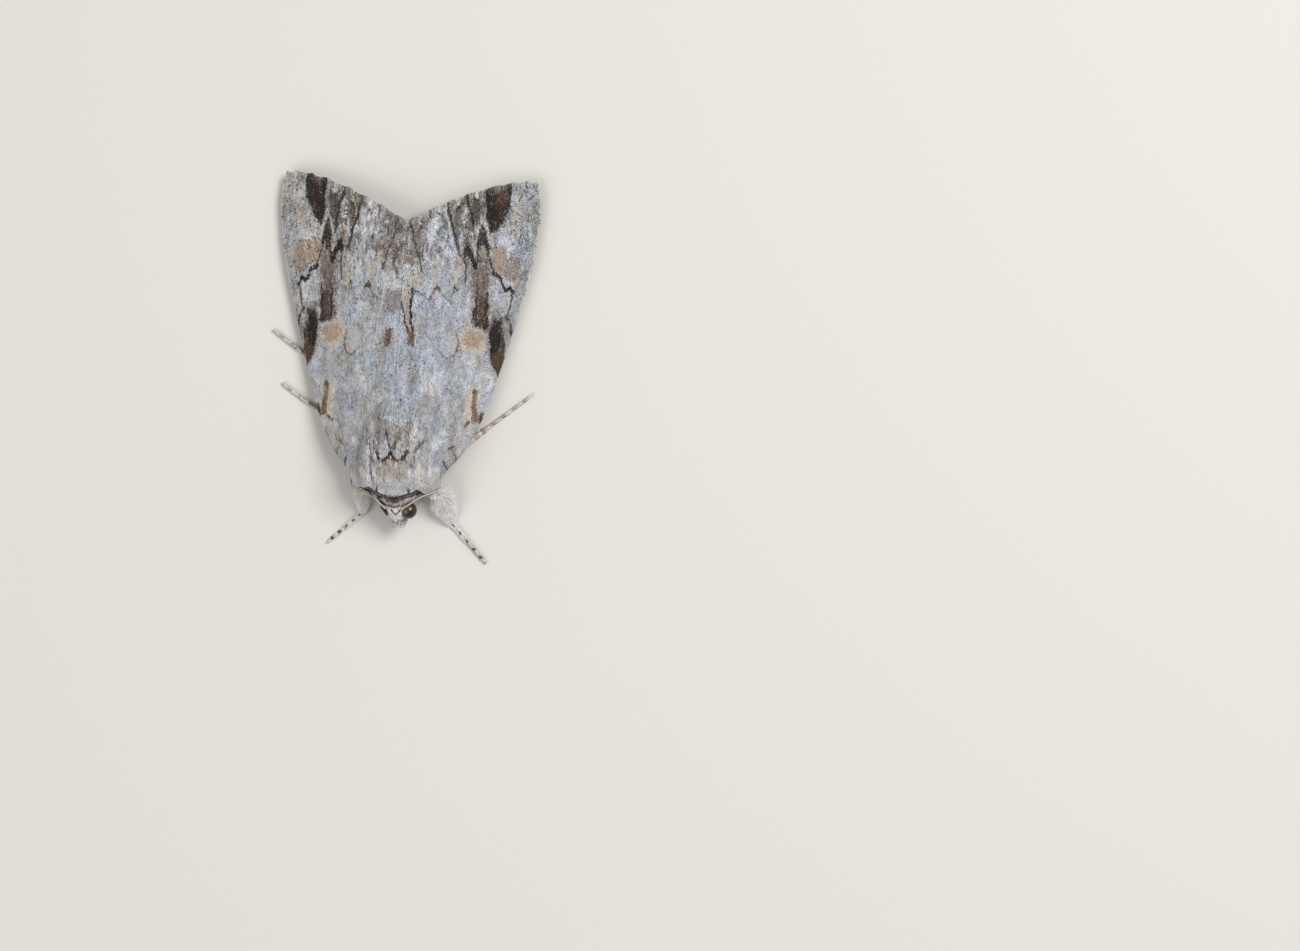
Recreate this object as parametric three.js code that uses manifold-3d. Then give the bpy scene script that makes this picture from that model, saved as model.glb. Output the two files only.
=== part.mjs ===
// An underwing moth at rest, life size, its forewings folded over its back like a low roof.
// Millimetres, +Z up. The head points to -Y and the moth's left is +X.
// While it is being made, x counts from the middle of the body and y from the line through
// the two round spots on the forewings. The last lines bring the footprint's middle to the origin.
import * as THREE from "three";
import { mergeVertices } from "three/addons/utils/BufferGeometryUtils.js";
import Module from "manifold-3d";

const wasm = await Module();
wasm.setup();

// ---- Driving dimensions -------------------------------------------------------------------

const GAP = 0.15; // clear space between neighbouring pieces
const WING_THICKNESS = 0.5;
const WING_FRONT = -17.3; // where the leading edge starts, beside the shoulder
const TORNUS = 15.1; // inner rear corner of the forewing
const APEX = 20.7; // outer rear corner of the forewing
const MARGIN_REACH = 14.2; // the outer margin slants back until this far from the middle
const MARGIN_BEND = 1.6;
const ROOF_BEND = 1.5; // 1 gives flat slopes, 2 a rounder roof
const SEAM_SHIFT = -0.35; // the left forewing's inner edge lies this far over the middle
const LAYER_DROP = WING_THICKNESS + 0.2; // from the forewing's upper side to the hindwing's

const ANTENNA_RADIUS = 0.26;
const ANTENNA_INSET = 0.4; // how far inside the leading edge the feeler lies
const ANTENNA_DROP = WING_THICKNESS + ANTENNA_RADIUS + 0.33; // below the wing's upper side
const ANTENNA_SPAN = [-16.4, -4.6]; // the part of it that lies under the wing
const EYE_RADIUS = 1.1;
const EYE_PLACES = { left: [1.6, -20.98, 3.85], right: [-1.2, -20.45, 3.6] };
const HEAD_ROLL = THREE.MathUtils.degToRad(10); // the head leans over to its right by this much
const HEAD_PIVOT = new THREE.Vector3(0.15, 0, 5); // a point on the line that it leans about

const FLOOR = 0;
const TARSUS_LEVEL = 0.25; // height of its axis, less than its radius, so its sole is flat
const TARSUS_RADIUS = 0.34;
const TARSOMERES = 5;
const JOINT_SWELL = 0.06; // each tarsomere widens this much towards its far end

// Places of the joints. From ankle to toe the whole tarsus lies on the floor.
const LEGS = {
  foreleg_left: { hip: [1.7, -17, 2], knee: [5.6, -18.9, 2.3], ankle: [6.8, -22.3], toe: [11.5, -27.3] },
  foreleg_right: { hip: [-1.7, -17, 2], knee: [-4.2, -18.9, 2.3], ankle: [-4.3, -21.6], toe: [-8.65, -25.7] },
  midleg_left: { hip: [2.6, -12.8, 1.7], knee: [6.2, -14.2, 2.2], ankle: [9.9, -11.1], toe: [16.3, -5.9] },
  midleg_right: { hip: [-2.6, -12.8, 1.7], knee: [-5.9, -13.6, 2.6], ankle: [-8.7, -10.5], toe: [-15.3, -6] },
  hindleg_left: { hip: [2.4, -9.4, 1.7], knee: [5.8, -11, 2.5], ankle: [9, -4.4], toe: [12.4, 2.6] },
  hindleg_right: { hip: [-2.4, -9.4, 1.7], knee: [-6, -10.2, 2.5], ankle: [-9.6, -4.4], toe: [-16.7, 0.6] },
};
const BRUSH = { foreleg_left: 1.2, foreleg_right: 0.5 }; // flat hair on each side of a fore tibia

// ---- Curves -------------------------------------------------------------------------------

// A smooth curve through [place, value] pairs that never swings past them: cubic steps whose
// slope at each pair is the harmonic mean of the slopes on its two sides.
function through(pairs) {
  const slopes = pairs.slice(1).map(([x, y], i) => (y - pairs[i][1]) / (x - pairs[i][0]));
  const bends = pairs.map((_, i) => {
    const before = slopes[i - 1] ?? slopes[0];
    const after = slopes[i] ?? slopes[slopes.length - 1];
    return before * after > 0 ? (2 * before * after) / (before + after) : 0;
  });
  return (x) => {
    const i = Math.max(0, pairs.findLastIndex(([start], k) => start <= x && k + 1 < pairs.length));
    const [[x0, y0], [x1, y1]] = [pairs[i], pairs[i + 1]];
    const span = x1 - x0;
    const t = THREE.MathUtils.clamp((x - x0) / span, 0, 1);
    const ease = t * t * (3 - 2 * t);
    const lift = t * (1 - t) * span * (bends[i] * (1 - t) - bends[i + 1] * t);
    return y0 + (y1 - y0) * ease + lift;
  };
}

const leadingEdge = through([
  [-17.3, 5.2], [-16, 6.3], [-14, 8.0], [-10, 10.1], [-4, 12.0],
  [4, 14.2], [12, 15.95], [17, 16.4], [20, 16.0], [20.8, 15.3],
]);
const ridgeHeight = through([[-17, 7.6], [-12, 8.4], [-7, 8.0], [0, 6.8], [8, 4.9], [15, 3.7], [21, 3.2]]);
const eaveHeight = through([[-17, 4.2], [-13, 3.1], [-9, 2.2], [-4, 1.7], [0, 1.5], [21, 1.4]]);
const seamLine = (y) => SEAM_SHIFT * THREE.MathUtils.smoothstep(y, -6, 2);

function outerMargin(x) {
  const left = Math.max(0, 1 - x / MARGIN_REACH);
  return TORNUS + (APEX - TORNUS) * (1 - left ** MARGIN_BEND);
}

// The upper side of the folded forewings: highest over the back, lowest along the leading edges.
function roof(x, y) {
  const across = Math.min(1, Math.abs(x) / leadingEdge(y));
  return eaveHeight(y) + (ridgeHeight(y) - eaveHeight(y)) * (1 - across ** ROOF_BEND);
}

// ---- From points to solids ----------------------------------------------------------------

function solidFrom(geometry) {
  const bare = new THREE.BufferGeometry();
  bare.setAttribute("position", geometry.getAttribute("position"));
  bare.setIndex(geometry.index);
  const merged = mergeVertices(bare, 1e-5);
  const vertProperties = merged.attributes.position.array;
  const triVerts = new Uint32Array(merged.index.array);
  return new wasm.Manifold(new wasm.Mesh({ numProp: 3, vertProperties, triVerts }));
}

// Joins rings of points, all of one length, into a closed body. The cap lists the triangles
// that close a ring, by places in it, and it closes the first ring turned over.
function loft(rings, cap) {
  const size = rings[0].length;
  const last = (rings.length - 1) * size;
  const faces = cap.flatMap(([a, b, c]) => [[c, b, a], [last + a, last + b, last + c]]);
  for (let start = 0; start < last; start += size) {
    for (let i = 0; i < size; i++) {
      const [a, b] = [start + i, start + ((i + 1) % size)];
      faces.push([a, b, b + size], [a, b + size, a + size]);
    }
  }
  const geometry = new THREE.BufferGeometry().setFromPoints(rings.flat());
  geometry.setIndex(faces.flat());
  const solid = solidFrom(geometry);
  if (solid.volume() > 0) return solid;
  geometry.setIndex(faces.map(([a, b, c]) => [a, c, b]).flat());
  return solidFrom(geometry);
}

const range = (count) => Array.from({ length: count }, (_, i) => i);
const fan = (sides) => range(sides - 2).map((i) => [0, i + 1, i + 2]);

// A body along Y. Its sections are rounded rectangles that fill the space between two heights,
// and they lie closer together towards its two ends. The pose moves each finished point.
function trunk(shape, grow = 0, pose = (p) => p) {
  const { front, back, halfWidth, top, bottom, sections, sides, squareness } = shape;
  const rounded = (v) => Math.sign(v) * Math.abs(v) ** (2 / squareness);
  const rings = range(sections + 1).map((k) => {
    const share = (1 - Math.cos((Math.PI * k) / sections)) / 2;
    const y = THREE.MathUtils.lerp(front, back, share);
    const width = halfWidth(y) + grow;
    const height = (top(y) - bottom(y)) / 2 + grow;
    return range(sides).map((i) => {
      const turn = (2 * Math.PI * i) / sides;
      const x = width * rounded(Math.cos(turn));
      const z = (top(y) + bottom(y)) / 2 + height * rounded(Math.sin(turn));
      return pose(new THREE.Vector3(x, y + grow * (2 * share - 1), z));
    });
  });
  return loft(rings, fan(sides));
}

// A limb along a smooth curve, with its radius at each share of the way, widened by a brush of
// hair that thins out to nothing at its end. Nothing of it goes below the floor, so what lies on
// the floor gets a flat sole.
function limb(points, radius, { grow = 0, steps = 5, sides = 8, brush = 0 } = {}) {
  const curve = new THREE.CatmullRomCurve3(points, false, "centripetal");
  const rings = range(steps + 1).map((k) => {
    const along = curve.getTangentAt(k / steps);
    const side = new THREE.Vector3(along.y, -along.x, 0).normalize();
    const up = side.clone().cross(along);
    const size = radius(k / steps) + grow;
    const width = size + brush * (1 - k / steps);
    const push = k === 0 ? -grow : k === steps ? grow : 0;
    const middle = curve.getPointAt(k / steps).addScaledVector(along, push);
    return range(sides).map((i) => {
      const turn = (2 * Math.PI * (i + 0.5)) / sides;
      const p = middle.clone();
      p.addScaledVector(side, width * Math.cos(turn));
      p.addScaledVector(up, size * Math.sin(turn));
      return p.setZ(Math.max(p.z, FLOOR - grow));
    });
  });
  return loft(rings, fan(sides));
}

// A sheet of even thickness under the surface at(along, across), both from 0 to 1.
function sheet(at, rows, columns) {
  const rings = range(rows + 1).map((i) => {
    const upper = range(columns + 1).map((j) => at(i / rows, j / columns));
    const lower = upper.map((p) => p.clone().setZ(p.z - WING_THICKNESS));
    return [...upper, ...lower.reverse()];
  });
  const size = 2 * (columns + 1);
  const cap = range(columns).flatMap((j) => [
    [j, j + 1, size - 2 - j],
    [j, size - 2 - j, size - 1 - j],
  ]);
  return loft(rings, cap);
}

// ---- Trunk and head -----------------------------------------------------------------------

const THORAX = {
  front: -19.3,
  back: -6.9,
  halfWidth: through([
    [-19.3, 0.9], [-18.8, 3.4], [-18, 4.6], [-15, 4.85], [-12, 4.7], [-9.5, 4.1], [-7.6, 3], [-6.9, 1.4],
  ]),
  top: through([
    [-19.3, 5.5], [-18.8, 6.4], [-17.5, 8.0], [-15, 9.0], [-12.5, 9.3], [-10, 9.2], [-8, 8.7], [-6.9, 7.6],
  ]),
  bottom: through([
    [-19.3, 4.6], [-18.8, 3.2], [-17.5, 1.7], [-15, 0.95], [-12, 0.75], [-8, 0.8], [-6.9, 2.5],
  ]),
  sections: 16,
  sides: 20,
  squareness: 2.3,
};
const ABDOMEN = {
  front: -6.7,
  back: 10.6,
  halfWidth: through([
    [-6.7, 2.4], [-6.2, 3.2], [-4, 3.5], [0, 3.3], [4, 2.8], [7.5, 1.9], [9.8, 1.0], [10.6, 0.35],
  ]),
  top: through([[-6.7, 6.3], [-6.2, 6.8], [-3, 6.6], [0, 5.9], [4, 4.7], [8, 3.2], [10, 2.1], [10.6, 1.6]]),
  bottom: through([[-6.7, 2.6], [-6.2, 1.3], [-3, 0.7], [2, 0.45], [8, 0.4], [10, 0.6], [10.6, 1.1]]),
  sections: 16,
  sides: 16,
  squareness: 2.1,
};
const HEAD = {
  front: -22.4,
  back: -18.7,
  halfWidth: through([[-22.4, 0.55], [-21.8, 1.25], [-21, 1.8], [-19.8, 2.2], [-18.7, 1.9]]),
  top: through([[-22.4, 3.9], [-21.8, 4.6], [-21, 5.2], [-19.8, 5.9], [-18.7, 5.8]]),
  bottom: through([[-22.4, 3.0], [-21.8, 2.5], [-21, 2.1], [-19.8, 1.9], [-18.7, 2.4]]),
  sections: 10,
  sides: 16,
  squareness: 2,
};

const SIDES = { left: 1, right: -1 };
const onSide = (side) => ([x, y, z]) => new THREE.Vector3(side * x, y, z);

// Leans a point of the upright head over.
function lean(p) {
  const level = new THREE.Vector3(0, 0, HEAD_PIVOT.z);
  return p.sub(level).applyAxisAngle(new THREE.Vector3(0, 1, 0), -HEAD_ROLL).add(HEAD_PIVOT);
}

// The head is turned a little too, so its right eye lies further in and back than the left one.
function eye(name, grow = 0) {
  const ball = new THREE.IcosahedronGeometry(EYE_RADIUS + grow, 2);
  const place = lean(new THREE.Vector3(...EYE_PLACES[name]));
  return solidFrom(ball.translate(place.x, place.y, place.z));
}

const thorax = trunk(THORAX);
const aroundThorax = trunk(THORAX, GAP);
const aroundAbdomen = trunk(ABDOMEN, GAP);
const aroundHead = trunk(HEAD, GAP, lean);
const aroundEyes = eye("left", GAP).add(eye("right", GAP));
const head = trunk(HEAD, 0, lean).subtract(aroundEyes).subtract(aroundThorax);

// The palp runs forward under the face and curves up in front of it like a short tusk.
const PALP_PATH = [[0.62, -20.4, 2.2], [0.66, -21.6, 2.0], [0.55, -22.6, 2.5], [0.38, -23.1, 3.4]];
const PALP_RADIUS = through([[0, 0.42], [0.5, 0.47], [0.8, 0.38], [1, 0.25]]);
const palp = (side) => limb(PALP_PATH.map(onSide(side)).map(lean), PALP_RADIUS, { steps: 7 });

// The feeler leaves the crown, passes in front of the shoulder and runs back under the wing's edge.
const ANTENNA_ON_HEAD = {
  left: [[1.05, -20.85, 5.1], [1.9, -20.35, 5.45], [2.8, -19.65, 5.35]],
  right: [[-1.05, -20.85, 5.1], [-1.8, -20.2, 5.45], [-2.5, -19.55, 5.5]],
};
const ANTENNA_AT_SHOULDER = {
  left: [[3.7, -19.1, 5.05], [4.6, -18.75, 4.65], [5.5, -18.3, 4.0]],
  right: [[-3.3, -19.2, 5.05], [-4.3, -18.85, 4.75], [-5.5, -18.3, 4.0]],
};
function antenna(name, side) {
  const onHead = ANTENNA_ON_HEAD[name].map((p) => lean(new THREE.Vector3(...p)));
  const atShoulder = ANTENNA_AT_SHOULDER[name].map((p) => new THREE.Vector3(...p));
  const under = range(6).map((k) => {
    const y = THREE.MathUtils.lerp(...ANTENNA_SPAN, k / 5);
    return [leadingEdge(y) - ANTENNA_INSET, y, eaveHeight(y) - ANTENNA_DROP];
  });
  const path = [...onHead, ...atShoulder, ...under.map(onSide(side))];
  return limb(path, () => ANTENNA_RADIUS, { steps: 28, sides: 6 });
}

// ---- Wings --------------------------------------------------------------------------------

// A place on the forewing: along from the shoulder to the outer margin, and across from the
// seam over the back to the leading edge.
const forewingAt = (side) => (along, across) => {
  const rear = outerMargin(across * leadingEdge(APEX));
  const y = THREE.MathUtils.lerp(WING_FRONT, rear, along);
  const x = THREE.MathUtils.lerp(side * seamLine(y) + GAP / 2, leadingEdge(y), across);
  return new THREE.Vector3(side * x, y, roof(x, y));
};

// The hindwing lies folded under the forewing, beside the abdomen.
const HINDWING = {
  front: -9.5,
  inner: through([[-9.5, 3.6], [-6, 3.9], [0, 3.7], [8, 2.7], [14, 1.7]]),
  outer: through([[-9.5, 5.2], [-6, 8.4], [0, 11.0], [8, 13.0], [14, 13.3], [18, 12.6]]),
  rear: (across) => outerMargin(2 + 10.4 * across) - 2.4,
};
const hindwingAt = (side) => (along, across) => {
  const y = THREE.MathUtils.lerp(HINDWING.front, HINDWING.rear(across), along);
  const x = THREE.MathUtils.lerp(HINDWING.inner(y), HINDWING.outer(y), across);
  return new THREE.Vector3(side * x, y, roof(x, y) - LAYER_DROP);
};

// ---- Legs ---------------------------------------------------------------------------------

const FEMUR_RADIUS = through([[0, 0.6], [0.35, 0.72], [1, 0.45]]);
const TIBIA_RADIUS = through([[0, 0.38], [0.5, 0.36], [1, 0.42]]);
const BOW = 0.12; // how far the middle of a femur or a tibia rises out of the straight line

function tarsusRadius(share) {
  const within = share < 1 ? (share * TARSOMERES) % 1 : 0.5;
  return TARSUS_RADIUS - 0.05 * share + JOINT_SWELL * (within - 0.5);
}

function bowed(from, to, bow) {
  const middle = from.clone().lerp(to, 0.5);
  return [from, middle.setZ(middle.z + bow), to];
}

function leg({ hip, knee, ankle, toe }, brush) {
  const level = ([x, y, z = TARSUS_LEVEL]) => new THREE.Vector3(x, y, z);
  const [top, bend, low, end] = [hip, knee, ankle, toe].map(level);
  const aboveAnkle = low.clone().lerp(bend, 0.06);
  const femur = (grow) => limb(bowed(top, bend, BOW), FEMUR_RADIUS, { grow });
  const tibia = (grow) => limb(bowed(bend, aboveAnkle, BOW), TIBIA_RADIUS, { grow, brush });
  const tarsus = limb(bowed(low, end, 0), tarsusRadius, { steps: 2 * TARSOMERES, sides: 6 });
  return {
    femur: femur(0).subtract(aroundThorax),
    tibia: tibia(0).subtract(femur(GAP)).subtract(aroundThorax),
    tarsus: tarsus.subtract(tibia(GAP)),
  };
}

// ---- The model ----------------------------------------------------------------------------

const FINISH = {
  scales: { color: 0xacacb0, roughness: 0.85 },
  fur: { color: 0xb0aca8, roughness: 0.95 },
  belly: { color: 0x8f877e, roughness: 0.95 },
  hindwing: { color: 0x2a2523, roughness: 0.9 },
  eye: { color: 0x2b2a1c, roughness: 0.25 },
  leg: { color: 0xd2c8b4, roughness: 0.8 },
  antenna: { color: 0x7d6c5c, roughness: 0.8 },
};

const moth = new THREE.Group();

// Adds a solid as a named mesh. A sliver that a cut has freed is dropped.
function add(name, solid, finish) {
  const [body] = solid.decompose().sort((a, b) => b.volume() - a.volume());
  const mesh = body.getMesh();
  const geometry = new THREE.BufferGeometry();
  geometry.setAttribute("position", new THREE.BufferAttribute(mesh.vertProperties, 3));
  geometry.setIndex(new THREE.BufferAttribute(mesh.triVerts, 1));
  geometry.computeVertexNormals();
  const material = new THREE.MeshStandardMaterial({ ...FINISH[finish], metalness: 0 });
  const piece = new THREE.Mesh(geometry, material);
  piece.name = name;
  moth.add(piece);
}

add("thorax", thorax, "fur");
add("abdomen", trunk(ABDOMEN).subtract(aroundThorax), "belly");
add("head", head, "fur");
for (const [name, side] of Object.entries(SIDES)) {
  add(`eye_${name}`, eye(name), "eye");
  add(`palp_${name}`, palp(side).subtract(aroundHead), "fur");
  add(`antenna_${name}`, antenna(name, side).subtract(aroundHead), "antenna");
  add(`forewing_${name}`, sheet(forewingAt(side), 24, 10).subtract(aroundThorax), "scales");
  const hindwing = sheet(hindwingAt(side), 16, 6);
  add(`hindwing_${name}`, hindwing.subtract(aroundThorax).subtract(aroundAbdomen), "hindwing");
}
for (const [name, joints] of Object.entries(LEGS)) {
  const segments = Object.entries(leg(joints, BRUSH[name]));
  for (const [segment, solid] of segments) add(`${name}_${segment}`, solid, "leg");
}

const footprint = new THREE.Box3().setFromObject(moth);
const middle = footprint.getCenter(new THREE.Vector3());
moth.position.set(-middle.x, -middle.y, -footprint.min.z);
const model = new THREE.Group();
model.add(moth);

export default model;
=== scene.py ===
# %% [markdown]
# # An underwing moth at rest, life size
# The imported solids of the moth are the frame: they say where everything is and how large. This
# lesson grows the looks around them: skins, more than a hundred thousand scales and hairs, eyes,
# feelers and legs. Every new surface is worked out with numpy and handed to Blender as one mesh.

import bpy
import numpy as np
from mathutils import Matrix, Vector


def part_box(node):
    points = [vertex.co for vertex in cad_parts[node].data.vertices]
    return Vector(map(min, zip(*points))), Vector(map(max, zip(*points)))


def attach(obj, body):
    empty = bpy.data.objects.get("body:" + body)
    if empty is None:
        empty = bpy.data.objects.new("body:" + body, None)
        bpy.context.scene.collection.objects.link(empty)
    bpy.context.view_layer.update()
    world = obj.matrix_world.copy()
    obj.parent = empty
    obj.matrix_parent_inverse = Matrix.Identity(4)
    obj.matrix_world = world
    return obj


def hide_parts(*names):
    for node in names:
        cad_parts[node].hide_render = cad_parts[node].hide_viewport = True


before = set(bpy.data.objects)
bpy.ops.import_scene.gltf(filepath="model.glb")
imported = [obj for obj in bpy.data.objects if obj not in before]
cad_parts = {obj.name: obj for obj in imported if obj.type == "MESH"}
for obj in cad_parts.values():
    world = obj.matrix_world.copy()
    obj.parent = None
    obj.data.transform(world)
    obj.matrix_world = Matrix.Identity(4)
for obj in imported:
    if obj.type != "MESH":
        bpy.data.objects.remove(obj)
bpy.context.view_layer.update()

# %% [markdown]
# ## Millimetres on the moth
# A moth is easiest to describe in millimetres from its own middle. Here x counts from the middle
# of the body (+x is its left), y from the line through the two round spots on the wings (the head
# is at -y), and z from the floor. The thorax shows where that origin lies in the frame.

# %% From the moth's millimetres to the frame's metres
MM = 0.001
THORAX_FRONT = -19.3
low, high = (np.array(corner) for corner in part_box("thorax"))
ORIGIN = np.array([(low[0] + high[0]) / 2, low[1] - THORAX_FRONT * MM, 0.0])
print("origin of the moth's millimetres:", ORIGIN.round(5))


def metres(points):
    """Moth millimetres to frame metres: scaled down, then moved to the origin."""
    return np.asarray(points, float) * MM + ORIGIN


# %% [markdown]
# ## Camera and light
# The moth clings head down to a trunk, so with the moth laid on the floor the camera looks down
# on it. Its place is found backwards: it stands on the line that meets the middle of the body 7
# degrees from straight above, and then turns until that point sits in its place in the frame.

# %% Camera
FRAME_PIXELS = np.array([1300, 951])
PIXELS_PER_MM = 8.0
LENS, SENSOR = 130.0, 36.0
BODY_PIXEL, BODY_CENTRE = np.array([404.2, 341.0]), (0, 0, 1.5)  # in the frame, and on the moth
SLANT, ROLL = np.radians(7.0), np.radians(2.83)

distance = LENS / SENSOR * FRAME_PIXELS[0] / PIXELS_PER_MM
aside = (BODY_PIXEL - FRAME_PIXELS / 2) * (1, -1) / PIXELS_PER_MM
forward = np.array([-np.sin(SLANT), 0, -np.cos(SLANT)])
up = np.array([-np.sin(ROLL), np.cos(ROLL), 0])
up -= forward * (up @ forward)
up /= np.linalg.norm(up)
basis = np.column_stack([np.cross(forward, up), up, -forward])


def turn_between(a, b):
    """The smallest rotation that takes unit vector a to unit vector b (Rodrigues' formula)."""
    axis = np.cross(a, b)
    x, y, z = axis
    skew = np.array([[0, -z, y], [z, 0, -x], [-y, x, 0]])
    return np.eye(3) + skew + skew @ skew / (1 + a @ b)


toward = np.array([*aside, -distance])
toward /= np.linalg.norm(toward)
basis = basis @ turn_between(toward, np.array([0, 0, -1.0]))
eye_point = metres(BODY_CENTRE) - forward * distance * MM

lens = bpy.data.cameras.new("camera")
lens.lens, lens.sensor_width = LENS, SENSOR
lens.clip_start, lens.clip_end = 0.01, 20
camera = bpy.data.objects.new("camera", lens)
matrix = np.eye(4)
matrix[:3, :3], matrix[:3, 3] = basis, eye_point
camera.matrix_world = Matrix(matrix.tolist())
bpy.context.scene.collection.objects.link(camera)
bpy.context.scene.camera = camera
print("camera at", eye_point.round(3), "m")

# %% [markdown]
# A wide soft light stands high to the moth's left, a weaker one fills from its right, and a pale
# room lights the rest. The colours of the scales were chosen as they should look, so the picture
# keeps them as they are ("Standard" view) instead of bending them like film.

# %% Light and room
scene = bpy.context.scene
scene.view_settings.view_transform = "Standard"


def srgb(code):
    """An sRGB hex colour as three numbers from 0 to 1."""
    return np.array([int(code[i:i + 2], 16) for i in (1, 3, 5)]) / 255


def to_light(c):
    """sRGB numbers as linear light: each becomes ((c + 0.055) / 1.055) ** 2.4, or c / 12.92 in
    the darkest part."""
    return np.where(c <= 0.04045, c / 12.92, ((np.maximum(c, 0) + 0.055) / 1.055) ** 2.4)


def soft_light(name, place, size, power):
    """A square lamp, `size` metres wide, that faces the moth."""
    lamp = bpy.data.lights.new(name, "AREA")
    lamp.size, lamp.energy = size, power
    thing = bpy.data.objects.new(name, lamp)
    thing.location = place
    thing.rotation_euler = (-thing.location).to_track_quat("-Z", "Y").to_euler()
    scene.collection.objects.link(thing)
    print(f"{name} light: {size} m wide, {power} W")


soft_light("key", place=(0.34, 0.22, 0.50), size=0.30, power=2.95)
soft_light("fill", place=(-0.45, -0.35, 0.55), size=0.60, power=2.3)
room = bpy.data.worlds.new("room")
room.use_nodes = True
sky = room.node_tree.nodes["Background"].inputs
sky["Color"].default_value = (*to_light(srgb("#F0EFEE")), 1)
sky["Strength"].default_value = 0.45
scene.world = room

# %% [markdown]
# ## Meshes and materials
# Four small helpers do all the handing over to Blender: one sets a node's inputs, one adds a
# node, one starts a material, and one turns arrays of points and faces into a mesh. The floor is
# the first use of them.

# %% Helpers, and the floor


def feed(material, node, inputs):
    """Gives each input of a node its value, or a link from the socket that stands for it."""
    for socket, value in inputs.items():
        if isinstance(value, bpy.types.NodeSocket):
            material.node_tree.links.new(value, node.inputs[socket])
        else:
            node.inputs[socket].default_value = value
    return node


def add_node(material, kind, inputs={}, **settings):
    """Adds a node with its own settings and inputs."""
    made = material.node_tree.nodes.new(kind)
    for field, value in settings.items():
        setattr(made, field, value)
    return feed(material, made, inputs)


def new_material(name):
    """An empty material whose surface is a Principled shader, and that shader."""
    material = bpy.data.materials.new(name)
    material.use_nodes = True
    return material, material.node_tree.nodes["Principled BSDF"]


def mesh_of(name, points, faces, material):
    """A mesh object from points in metres and arrays of triangles or quads."""
    mesh = bpy.data.meshes.new(name)
    sizes = np.concatenate([np.full(len(f), f.shape[1]) for f in faces])
    corners = np.concatenate([np.ravel(f) for f in faces]).astype(np.int32)
    mesh.vertices.add(len(points))
    mesh.vertices.foreach_set("co", np.ravel(points).astype(np.float32))
    mesh.loops.add(len(corners))
    mesh.loops.foreach_set("vertex_index", corners)
    mesh.polygons.add(len(sizes))
    mesh.polygons.foreach_set("loop_start", (np.cumsum(sizes) - sizes).astype(np.int32))
    mesh.update(calc_edges=True)
    mesh.materials.append(material)
    thing = bpy.data.objects.new(name, mesh)
    scene.collection.objects.link(thing)
    return thing, corners


FLOOR_REACH = 3.0
pale_card, surface = new_material("pale_paper_card")  # uncoated card: no gloss, even and pale
feed(pale_card, surface, {"Base Color": (*to_light(srgb("#D9D6D0")), 1), "Roughness": 0.9})
square = FLOOR_REACH * np.array([[-1, -1, 0], [1, -1, 0], [1, 1, 0], [-1, 1, 0]])
floor, _ = mesh_of("floor", square, [np.array([[0, 1, 2, 3]])], pale_card)
print("floor:", 2 * FLOOR_REACH, "m wide")

# %% [markdown]
# ## Shapes as formulas
# The same few formulas that shape the solids shape the skins. `through` draws a smooth curve
# through a handful of measured sizes, `noise` gives the small unevenness of living things, and
# every skin is a grid of points: a tube closed at its ends, or a slab closed round its rim.
# Sculpting could do it too, but a formula keeps each layer a known distance from the next.

# %% Curves and noise
LATTICE = 128  # random heights on each side of the noise's table


def through(*pairs):
    """A smooth curve through (place, value) pairs that never swings past them: cubic steps whose
    slope at each pair is the harmonic mean of the slopes on its two sides."""
    xs, ys = np.array(pairs, float).T
    slope = np.diff(ys) / np.diff(xs)
    before, after = np.r_[slope[0], slope], np.r_[slope, slope[-1]]
    same = before * after > 0
    bends = np.where(same, 2 * before * after / np.where(same, before + after, 1), 0)

    def curve(x):
        i = np.clip(np.searchsorted(xs, x, side="right") - 1, 0, len(xs) - 2)
        span = xs[i + 1] - xs[i]
        t = np.clip((x - xs[i]) / span, 0, 1)
        lift = t * (1 - t) * span * (bends[i] * (1 - t) - bends[i + 1] * t)
        return ys[i] + (ys[i + 1] - ys[i]) * t * t * (3 - 2 * t) + lift

    return curve


def step(x, start, end):
    """0 before start, 1 after end, and an S-shaped rise between them."""
    t = np.clip((x - start) / (end - start), 0, 1)
    return t * t * (3 - 2 * t)


def noise(x, y, size, seed):
    """Smooth random hills between -1 and 1, `size` mm apart: random heights on a square lattice,
    eased from corner to corner."""
    table = np.random.default_rng(seed).uniform(-1, 1, (LATTICE, LATTICE))
    i, j = np.floor(x / size).astype(int), np.floor(y / size).astype(int)
    s, t = step(x / size - i, 0, 1), step(y / size - j, 0, 1)
    at = lambda a, b: table[(i + a) % LATTICE, (j + b) % LATTICE]
    return (at(0, 0) * (1 - s) + at(1, 0) * s) * (1 - t) + (at(0, 1) * (1 - s) + at(1, 1) * s) * t


def unit(v):
    """Vectors made one long."""
    return v / np.maximum(np.linalg.norm(v, axis=-1, keepdims=True), 1e-9)


def around(sides):
    """Evenly spaced angles of one full turn."""
    return np.linspace(0, 2 * np.pi, sides, endpoint=False)


print("a quarter of the way along, a smooth step is at", step(0.25, 0, 1))


# %% Tubes and slabs


def tube(rings):
    """A closed body from rings of points (rings x sides x 3), each end closed to a pole."""
    rows, sides = rings.shape[:2]
    i, j = np.meshgrid(np.arange(rows - 1), np.arange(sides), indexing="ij")
    k = (j + 1) % sides
    quads = np.stack([i * sides + j, i * sides + k, (i + 1) * sides + k, (i + 1) * sides + j], -1)
    j = np.arange(sides)
    k = (j + 1) % sides
    first, last = rows * sides, rows * sides + 1
    end = (rows - 1) * sides
    caps = np.concatenate([
        np.stack([k, j, np.full(sides, first)], -1),
        np.stack([end + j, end + k, np.full(sides, last)], -1),
    ])
    points = np.concatenate([rings.reshape(-1, 3), [rings[0].mean(0), rings[-1].mean(0)]])
    return points, [quads.reshape(-1, 4), caps]


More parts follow.
